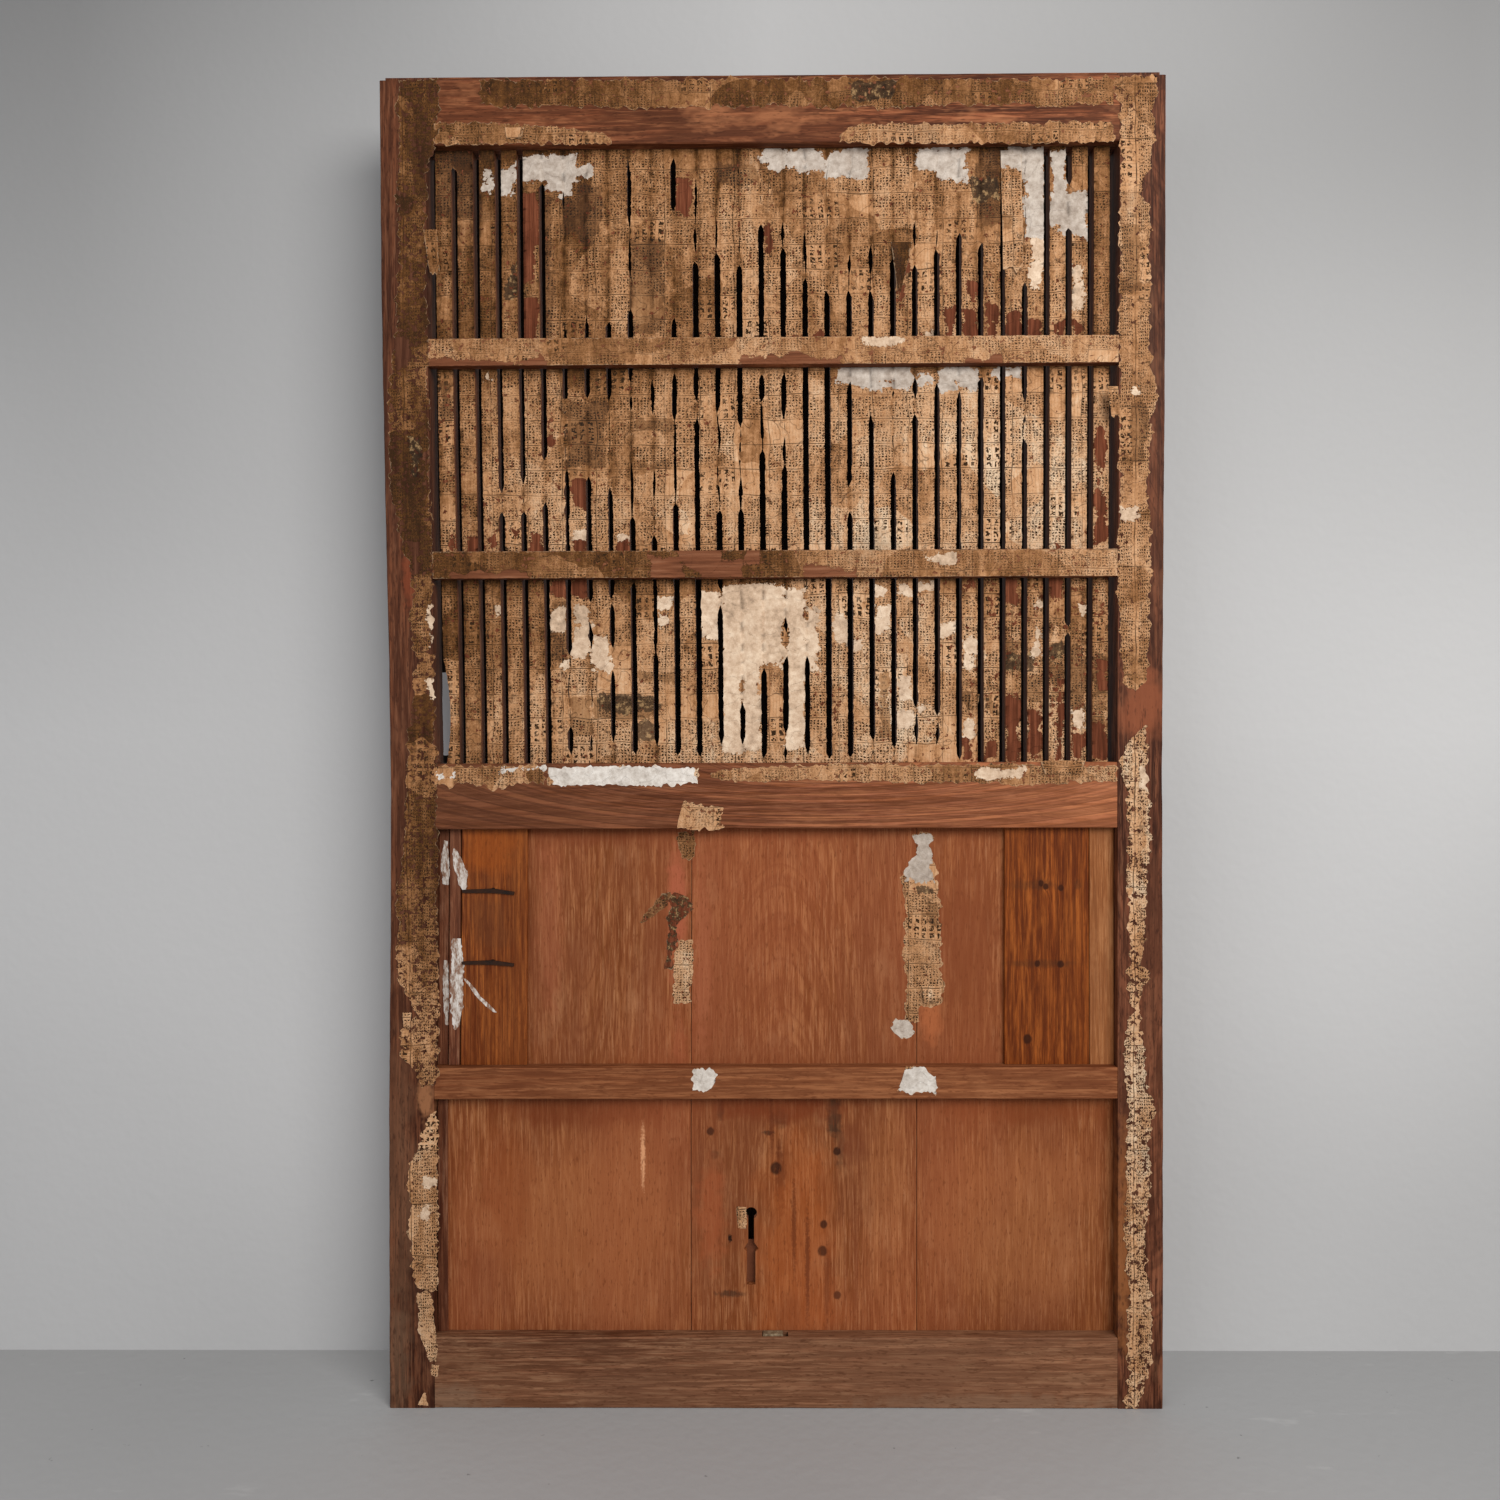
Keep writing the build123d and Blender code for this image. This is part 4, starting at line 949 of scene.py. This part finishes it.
uprightSheets = [
    {
        "rows": [
            (1757, -489, -436), (1729, -492, -436), (1696, -488, -436), (1634, -492, -455),
            (1510, -491, -455), (1402, -498, -455), (1385, -503, -455), (1346, -505, -455),
            (1280, -507, -455), (1215, -507, -455), (1166, -497, -455), (1140, -490, -455),
            (1116, -482, -455), (1034, -484, -455), (997, -478, -455), (951, -484, -455), (902, -488, -455),
            (852, -494, -452), (752, -495, -451), (713, -501, -451), (670, -506, -451), (576, -506, -450),
            (544, -485, -450), (526, -479, -450), (510, -501, -450), (470, -499, -450), (453, -482, -449),
            (433, -473, -452),
        ],
        "flake": 0.46,
        "dark": [(-480, -466, 1240, 1290)],
        "bare": [(-482, -470, 1110, 1152), (-494, -478, 1380, 1420)],
        "white": [(-460, -450, 1010, 1070), (-462, -448, 944, 970)],
        "tones": [(430, .5), (560, .46), (640, .38), (720, .25), (1000, .24), (1400, .18), (1760, .16)],
    },
    {
        "rows": [
            (396, -459, -450), (373, -469, -449), (353, -474, -449), (326, -486, -449), (299, -490, -449),
            (270, -485, -449), (239, -488, -449), (209, -484, -449), (179, -485, -449), (163, -476, -449),
            (157, -463, -449),
        ],
        "tone": 0.66, "flake": 0.41, "white": [(-475, -463, 255, 272), (-468, -452, 300, 308)],
    },
    {"rows": [(156, -477, -460), (132, -476, -455), (105, -476, -454), (85, -468, -451), (64, -462, -451)],
     "tone": 0.66, "flake": 0.41},
    {"rows": [(59, -459, -448), (44, -459, -450)], "tone": 0.6, "flake": 0.4},
    {"rows": [(21, -469, -465), (11, -474, -465), (4, -478, -464)], "tone": 0.6, "flake": 0.4},
    {
        "rows": [
            (1755, 444, 500), (1731, 447, 503), (1722, 455, 496), (1683, 456, 499), (1634, 455, 494),
            (1618, 456, 485), (1601, 455, 481), (1588, 455, 495), (1471, 455, 493), (1380, 455, 496),
            (1341, 455, 504), (1308, 455, 497), (1243, 456, 494), (1204, 458, 491), (1177, 456, 497),
            (1145, 453, 498), (1046, 456, 496), (981, 459, 493), (964, 464, 492), (954, 472, 479),
        ],
        "tone": 0.5, "flake": 0.41,
        "bare": [(484, 500, 1600, 1630), (494, 505, 1500, 1530)],
        "white": [(446, 480, 1180, 1192), (470, 480, 1340, 1350)],
        "second": [(470, 492, 1250, 1330), (460, 480, 1480, 1560)],
    },
    {
        "rows": [
            (906, 490, 494), (889, 471, 494), (866, 457, 493), (843, 460, 493), (827, 468, 493),
            (800, 468, 499), (770, 469, 497), (761, 469, 505), (754, 470, 499), (704, 467, 493),
            (651, 470, 491), (591, 471, 487), (582, 469, 499), (558, 470, 487), (532, 476, 484),
            (505, 466, 486), (469, 464, 492), (436, 463, 492), (403, 468, 504), (370, 467, 496),
            (303, 467, 497), (253, 464, 493), (186, 466, 491), (152, 470, 499), (86, 466, 500),
            (52, 470, 498), (19, 464, 487), (1, 465, 482),
        ],
        "tone": 0.68, "flake": 0.455, "white": [(488, 497, 830, 850)],
    },
]
levelSheets = [
    {"rows": [(-382, 1725, 1756), (-356, 1722, 1756), (-277, 1722, 1757), (-172, 1718, 1756),
              (-15, 1720, 1755), (116, 1718, 1754), (168, 1715, 1754), (246, 1719, 1753), (377, 1717, 1752),
              (446, 1721, 1752)],
     "tones": [(-382, 0.24), (0, 0.3), (446, 0.34)], "flake": 0.42, "dark": [(100, 160, 1726, 1750)]},
    {"rows": [(-443, 1674, 1701), (-396, 1673, 1702), (-330, 1673, 1699), (-278, 1672, 1693),
              (-238, 1672, 1690), (-210, 1672, 1682)], "tone": 0.35, "flake": 0.42},
    {"rows": [(87, 1672, 1680), (102, 1671, 1692), (128, 1670, 1696), (246, 1670, 1695), (351, 1669, 1695),
              (446, 1669, 1697)], "tone": 0.48, "flake": 0.41},
    {"rows": [(-454, 830, 857), (-408, 833, 857), (-368, 825, 857), (-341, 834, 857), (-308, 833, 857)],
     "tone": 0.5, "flake": 0.42, "grey": [(-366, -300, 848, 856), (-452, -430, 838, 846)]},
    {"rows": [(-304, 831, 854), (-234, 831, 856), (-154, 830, 856), (-103, 834, 853)], "tone": 0.7,
     "flake": 0.36, "grey": [(-302, -104, 824, 860)]},
    {"rows": [(-85, 840, 848), (-54, 836, 853), (33, 838, 857), (139, 835, 857), (246, 833, 857),
              (325, 831, 857), (379, 832, 856),
              (453, 836, 856)], "tone": 0.52, "flake": 0.42, "white": [(260, 330, 838, 852)]},
    {"rows": [(-133, 773, 774), (-122, 773, 810), (-98, 773, 806), (-71, 771, 800)], "tone": 0.56,
     "flake": 0.42},
    {"rows": [(-109, 425, 455), (-97, 423, 457), (-84, 430, 454), (-77, 441, 446)], "tone": 0.66,
     "flake": 0.4, "grey": [(-112, -74, 420, 458)]},
    {"rows": [(166, 422, 431), (174, 422, 455), (195, 422, 456), (214, 422, 446), (216, 424, 436)],
     "tone": 0.64, "flake": 0.42, "grey": [(164, 218, 420, 458)]},
]
# the sheets over the lattice rails, their fields (left, right, top, bottom) in mm down from the rail's top
latticeSheets = {
    "lattice_rail_upper": {
        "tones": [(-454, 0.41), (0, 0.52), (454, 0.63)],
        "bare": [(-454, -300, 28, 40), (-40, 90, 26, 40), (250, 300, 26, 40)],
        "white": [(120, 180, 2, 10)],
    },
    "lattice_rail_lower": {
        "tones": [(-454, 0.2), (-200, 0.24), (60, 0.34), (240, 0.5), (454, 0.52)],
        "bare": [
            (-165, -122, 6, 40), (-128, -70, -2, 24), (-96, -40, 12, 40), (-38, -20, -2, 20),
            (-430, -330, 26, 40), (40, 110, 24, 40),
        ],
        "white": [(200, 240, 8, 16)],
    },
}
for node, sheet in latticeSheets.items():
    low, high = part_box(node)
    bottom, top = low.z / mm + 0.6, high.z / mm - 0.6
    for key in ("bare", "white"):
        sheet[key] = [(left, right, top - end, top - start) for left, right, start, end in sheet[key]]
    sheet["rows"] = [(x, bottom, top) for x in (leftInnerX / mm + 1, 0, rightInnerX / mm - 1)]
    levelSheets.append({**sheet, "flake": 0.42, "ragged": 0.5})
jointSheets = [
    {"rows": [(768, -133, -110), (750, -132, -109), (740, -129, -109), (732, -124, -110)], "tone": 0.3,
     "flake": 0.42},
    {"rows": [(685, -148, -129), (678, -142, -115), (662, -145, -114), (642, -145, -130), (615, -146, -134),
              (584, -149, -137)], "tone": 0.25, "flake": 0.5, "dark": [(-150, -112, 580, 690)]},
    {"rows": [(685, -153, -140), (669, -165, -145), (656, -177, -163), (646, -183, -177)], "tone": 0.3,
     "flake": 0.46, "second": [(-180, -140, 650, 690)]},
    {"rows": [(622, -131, -112), (608, -135, -111), (575, -137, -112), (537, -138, -115)], "tone": 0.56,
     "flake": 0.42},
    {"rows": [(765, 182, 212), (749, 189, 210), (738, 191, 212), (726, 183, 214), (713, 172, 216),
              (695, 172, 218), (686, 168, 217), (672, 175, 222), (641, 174, 224), (594, 175, 225),
              (554, 177, 226), (541, 179, 225), (531, 175, 216)],
     "tone": 0.56, "flake": 0.4, "grey": [(176, 214, 700, 764)], "dark": [(190, 214, 686, 692)],
     "second": [(206, 218, 640, 672)]},
    {"rows": [(537, 175, 193), (524, 175, 193), (511, 175, 194)], "tone": 0.5, "flake": 0.44},
    {"rows": [(261, -51, -38), (246, -51, -38), (232, -50, -39)], "tone": 0.55, "flake": 0.4},
    {"rows": [(514, 160, 177), (504, 154, 186), (495, 162, 187), (489, 171, 179)], "tone": 0.75,
     "flake": 0.38, "grey": [(150, 190, 485, 520)], "relief": 2.5},
]
# limewash left on the wood of the upper panel, by the name of its piece
limewashMarks = {
    "edge_strips": [
        [(756, -448, -443), (737, -451, -441), (717, -451, -440), (697, -448, -441)],
        [(596, -447, -442), (569, -448, -440), (536, -447, -440), (509, -444, -441)],
    ],
    "narrow_strip": [
        [(747, -435, -431), (733, -435, -423), (715, -431, -416), (697, -425, -415), (688, -421, -419)],
        [(626, -434, -424), (610, -436, -421), (570, -437, -419), (536, -437, -420), (516, -434, -424),
         (503, -432, -430)],
    ],
    "cedar": [
        [(572, -420, -416), (560, -411, -405), (548, -402, -396), (538, -392, -385), (527, -380, -374)],
    ],
}
limewashedNodes = {"edge_strips": "edge_strip_upper", "narrow_strip": "narrow_strip",
                   "cedar": "cedar_board_left"}


# place runs along the sheet and side across it, both in mm
def tornSheet(bm, layers, sheet, along, y, seed):
    rows = sorted(sheet["rows"])
    start, end = rows[0][0], rows[-1][0]
    widest = max(high - low for _, low, high in rows)
    steps = max(3, round((end - start) / cellMm))
    columns = max(3, round(widest / cellMm))
    counts = (columns, steps) if along == "z" else (steps, columns)
    made = bmesh.ops.create_grid(bm, x_segments=counts[0], y_segments=counts[1], size=0.5)["verts"]
    lows = [(place, low) for place, low, _ in rows]
    highs = [(place, high) for place, _, high in rows]
    ragged = min(sheet.get("ragged", 5.0), 0.15 * widest)

    def edge(points, place, shift):
        waves = rough(place, seed, shift, 11) + 0.9 * rough(place, seed, shift + 4, 4.3)
        return interpolate(points, place) + ragged * waves

    for vert in made:
        across, on = vert.co.x + 0.5, vert.co.y + 0.5
        if along == "x":
            across, on = on, across
        place = start + (end - start) * on
        low, high = edge(lows, place, 1), edge(highs, place, 9)
        side = low + (high - low) * across
        if on in (0.0, 1.0):
            place += ragged * 1.2 * rough(side, seed, 17, 5)
        x, z = (side, place) if along == "z" else (place, side)
        curl = abs(2 * across - 1) ** 3 * max(0, rough(place, across * 9, seed, 24))
        relief = 0.12 + 0.1 * rough(x, z, seed, 20) + sheet.get("relief", 0.5) * curl
        vert.co = (x * mm, y - relief * mm, max(z, lowestPaper) * mm)
        tone = interpolate(sheet["tones"], place) if "tones" in sheet else sheet["tone"]
        tone += 0.1 * rough(x, seed, z, 90)
        rim = 1.0 if across in (0.0, 1.0) or on in (0.0, 1.0) else 0.0
        layDown(vert, layers, sheet, x, z, tone, sheet.get("flake", 0.3), rim)


def sheetPiece(name, sheets, along, y, material, nodes, seed):
    bm = bmesh.new()
    layers = {key: bm.verts.layers.float.new(key) for key in layerNames}
    for i, sheet in enumerate(sheets):
        tornSheet(bm, layers, sheet, along, y - 0.02 * mm * (i % 4), seed + 7 * i)
    return makePiece(name, bm, material, nodes, smooth=True)


sheetPiece("newsprint_on_stiles", uprightSheets, "z", faceY, stilePaper, ["paper_frame"], 50)
sheetPiece("newsprint_on_rails", levelSheets, "x", faceY, railPaper, ["paper_frame"], 80)
sheetPiece("newsprint_on_boards", jointSheets, "z", boardFaceY, newsprint, ["paper_panels"], 120)
for name, marks in limewashMarks.items():
    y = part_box(limewashedNodes[name])[0].y - 0.1 * mm
    sheets = [{"rows": rows, "tone": 0.5} for rows in marks]
    sheetPiece(f"limewash_on_{name}", sheets, "z", y, limewash, [], 150)


# curled flaps of paper: hinge corner, width and length in mm, direction it hangs in, height of its curl

flaps = [
    {"name": "flap_upper_bay", "on": "bars", "hinge": (157, 1548), "width": 28, "length": 76, "lift": 9,
     "lean": 8, "tone": 0.2, "taper": 0.85, "second": [(150, 171, 1460, 1550)]},
    {"name": "strip_upper_bay", "on": "bars", "hinge": (302, 1667), "width": 27, "length": 178, "lift": 3,
     "lean": 3, "tone": 0.58, "taper": 0.05, "grey": [(296, 334, 1642, 1680)],
     "second": [(296, 316, 1560, 1580)]},
    {"name": "flap_right_stile", "on": "frame", "hinge": (439, 1352), "width": 14, "length": 44,
     "lift": 1.8, "lean": 5, "tone": 0.5},
    {"name": "flap_board_joint", "on": "boards", "hinge": (198, 560), "width": 26, "length": 24, "lift": 7,
     "lean": 2, "tone": 0.6},
    {"name": "flap_left_stile", "on": "frame", "hinge": (-497, 530), "width": 12, "length": 22, "lift": 1.8,
     "lean": 2, "tone": 0.6},
    {"name": "flap_middle_bay", "on": "bars", "hinge": (-282, 1344), "width": 12, "length": 20, "lift": 7,
     "lean": 3, "tone": 0.35},
    {"name": "flap_lower_bay", "on": "bars", "hinge": (262, 950), "width": 12, "length": 22, "lift": 6,
     "lean": -3, "tone": 0.55},
    {"name": "scrap_top_rail", "on": "frame", "hinge": (-350, 1694), "width": 26, "length": 17, "lift": 1.8,
     "lean": 3, "tone": 0.6},
    {"name": "scrap_middle_rail", "on": "frame", "hinge": (352, 862), "width": 60, "length": 20,
     "lift": 1.8, "lean": 6, "tone": 0.5},
    {"name": "scrap_stile_left", "on": "frame", "hinge": (-458, 1562), "width": 18, "length": 64,
     "lift": 1.8, "lean": 8, "tone": 0.3},
]
# depth at which a flap starts on each
carriers = {"frame": faceY - 0.6 * mm, "bars": barFaceY - 1.0 * mm, "boards": boardFaceY - 0.8 * mm}


def curledFlap(flap, seed):
    bm = bmesh.new()
    bmesh.ops.create_grid(bm, x_segments=6, y_segments=14, size=0.5)
    layers = {key: bm.verts.layers.float.new(key) for key in layerNames}
    left, top = flap["hinge"]
    for vert in bm.verts:
        across, down = vert.co.x + 0.5, 0.5 - vert.co.y
        ragged = 1 + 0.25 * rough(across * 7, seed, 0, 1.0)
        x = left + flap["width"] * across * (1 - flap.get("taper", 0.25) * down) + flap["lean"] * down
        curl = flap["lift"] * math.sin(down * 2.3) * (0.7 + 0.6 * across)
        z = top - flap["length"] * down * ragged * (1 - 0.12 * down)
        x += 0.8 * rough(down * 6, across * 2, seed, 1.0)
        vert.co = (x * mm, carriers[flap["on"]] - curl * mm, z * mm)
        tone = flap["tone"] + 0.12 * rough(x, seed, z, 12)
        rim = 1.0 if across in (0.0, 1.0) or down == 1.0 else 0.0
        layDown(vert, layers, flap, x, z, tone, 0.36, rim)
    return makePiece(flap["name"], bm, newsprint, smooth=True)


for i, flap in enumerate(flaps):
    curledFlap(flap, 200 + i)
print("frame papered")


# stage, light and camera

def stageMaterial(name, look):
    material, tree = newMaterial(name)
    coords = stretch(tree)
    cloud = noiseNode(tree, coords, 1.5, 1, 0.5)
    grain = noiseNode(tree, coords, 60, 1, 0.6)
    tint = layOver(tree, look["colour"], cloud, look["mottle"], look["shade"])
    if look.get("topShade"):    # painted shade: darker towards the top and the sides, where the lamps light the wall less
        x, _, z = axesOf(tree, coords)
        high = addNode(tree, "ShaderNodeMapRange",
                       {"Value": z, "From Min": 0.9, "From Max": 2.0}).outputs[0]
        away = mathNode(tree, "MULTIPLY_ADD", mathNode(tree, "ABSOLUTE", x), 0.8, 0.2, clamp=True)
        tint = layOver(tree, tint, mathNode(tree, "MULTIPLY", high, away), look["topShade"], "#000000")
    if look.get("specks"):
        specks = noiseNode(tree, coords, 38, 3, 0.75)
        scuffs = noiseNode(tree, stretch(tree, (0.3, 1, 1)), 14, 4, 0.8)
        tint = blendColour(tree, ramp(tree, specks, [(0.7, 0.0), (0.74, 0.55)]), tint, "#4c4c4c")
        tint = blendColour(tree, ramp(tree, scuffs, [(0.62, 0.0), (0.72, 0.4)]), tint, "#c4c4c4")
    bump = addNode(tree, "ShaderNodeBump", {"Height": grain, "Distance": 0.8 * mm, "Strength": 0.7})
    inputs = {"Base Color": tint, "Roughness": 0.7, "Normal": bump.outputs[0]}
    shader = addNode(tree, "ShaderNodeBsdfPrincipled", inputs).outputs[0]
    if look.get("oneSided"):    # clear from behind, and to light that comes from close by
        backface = addNode(tree, "ShaderNodeNewGeometry").outputs["Backfacing"]
        path = addNode(tree, "ShaderNodeLightPath")
        close = mathNode(tree, "LESS_THAN", path.outputs["Ray Length"], look["clearWithin"])
        unseen = mathNode(tree, "MULTIPLY", close,
                          mathNode(tree, "SUBTRACT", 1.0, path.outputs["Is Camera Ray"]))
        opened = mathNode(tree, "MAXIMUM", backface, unseen)
        clear = addNode(tree, "ShaderNodeBsdfTransparent").outputs[0]
        shader = addNode(tree, "ShaderNodeMixShader", {0: opened, 1: shader, 2: clear}).outputs[0]
    addNode(tree, "ShaderNodeOutputMaterial", {"Surface": shader})
    return material


def stagePlane(name, corners, material):
    bm = bmesh.new()
    bmesh.ops.create_grid(bm, x_segments=1, y_segments=1, size=0.5)
    low, high = corners
    for vert in bm.verts:
        across, up = vert.co.x + 0.5, vert.co.y + 0.5
        shares = (across, up, up)      # a floor has no height and a wall no depth
        vert.co = [start + (end - start) * share for start, end, share in zip(low, high, shares)]
    plane = meshObject(name, bm, material)


wallY = 0.115
cardY = 0.052      # near-black cards of painted shadow stand just behind the leaf, where the wall lies in the leaf's shade
floorMaterial = stageMaterial("pale floor",
                              {"colour": "#b0b0b1", "shade": "#8a8a8b", "mottle": 0.5, "specks": True})
wallMaterial = stageMaterial("grey wall", {
    "colour": "#c6c6c7", "shade": "#8f8f90", "mottle": 0.5, "oneSided": True, "clearWithin": 0.4,
    "topShade": 0.6,
})
paintedShadowMaterial = stageMaterial("painted shadow behind the leaf", {
    "colour": "#0b0807", "shade": "#0b0807", "mottle": 0.0, "oneSided": True, "clearWithin": 9,
})
stagePlane("floor", ((-6, -6, 0), (6, 6, 0)), floorMaterial)
stagePlane("wall", ((-4, wallY, 0), (4, wallY, 4)), wallMaterial)
# painted shadow: near-black cards behind the lattice stand for the wall in the leaf's shade, with a gap at
# the bite where the lit wall shows
paintedShadowCards = {
    "darkCard": ((-0.43, cardY, 0.02), (0.49, cardY, 1.74)),
    "darkCardHigh": ((-0.49, cardY, 0.985), (-0.43, cardY, 1.74)),
    "darkCardLow": ((-0.49, cardY, 0.02), (-0.43, cardY, 0.87)),
}
for name, corners in paintedShadowCards.items():
    stagePlane(name, corners, paintedShadowMaterial)

scene = bpy.context.scene
world = bpy.data.worlds.new("soft room")
world.use_nodes = True
background = world.node_tree.nodes["Background"].inputs
background["Color"].default_value = (1.0, 0.99, 0.97, 1)
background["Strength"].default_value = 0.35
scene.world = world


def softbox(name, place, target, size, power, colour):
    light = bpy.data.lights.new(name, "AREA")
    light.shape = "RECTANGLE"
    light.size, light.size_y = size
    light.energy = power
    light.color = colour
    lamp = bpy.data.objects.new(name, light)
    lamp.location = place
    lamp.rotation_euler = (Vector(target) - Vector(place)).to_track_quat("-Z", "Y").to_euler()
    scene.collection.objects.link(lamp)


softbox("keySoftbox", (1.5, -2.6, 2.3), (0, 0, 1.0), (2.2, 1.6), 95, (1.0, 0.98, 0.95))
softbox("fillSoftbox", (-2.2, -2.4, 1.4), (0, 0, 0.9), (2.0, 2.0), 22, (0.95, 0.97, 1.0))

camera = bpy.data.objects.new("camera", bpy.data.cameras.new("camera"))
cameraPlace = Vector((-0.021, -1.427, 0.897))
cameraYaw, cameraPitch, cameraRoll = (math.radians(a) for a in (0.41, -0.81, -0.18))
camera.matrix_world = (
    Matrix.Translation(cameraPlace)
    @ Matrix.Rotation(cameraYaw, 4, "Z")
    @ Matrix.Rotation(math.radians(90) + cameraPitch, 4, "X")
    @ Matrix.Rotation(cameraRoll, 4, "Z")
)
camera.data.sensor_width = 36
camera.data.lens = 25.6
scene.collection.objects.link(camera)
scene.camera = camera
scene.view_settings.view_transform = "Standard"
print("stage set")
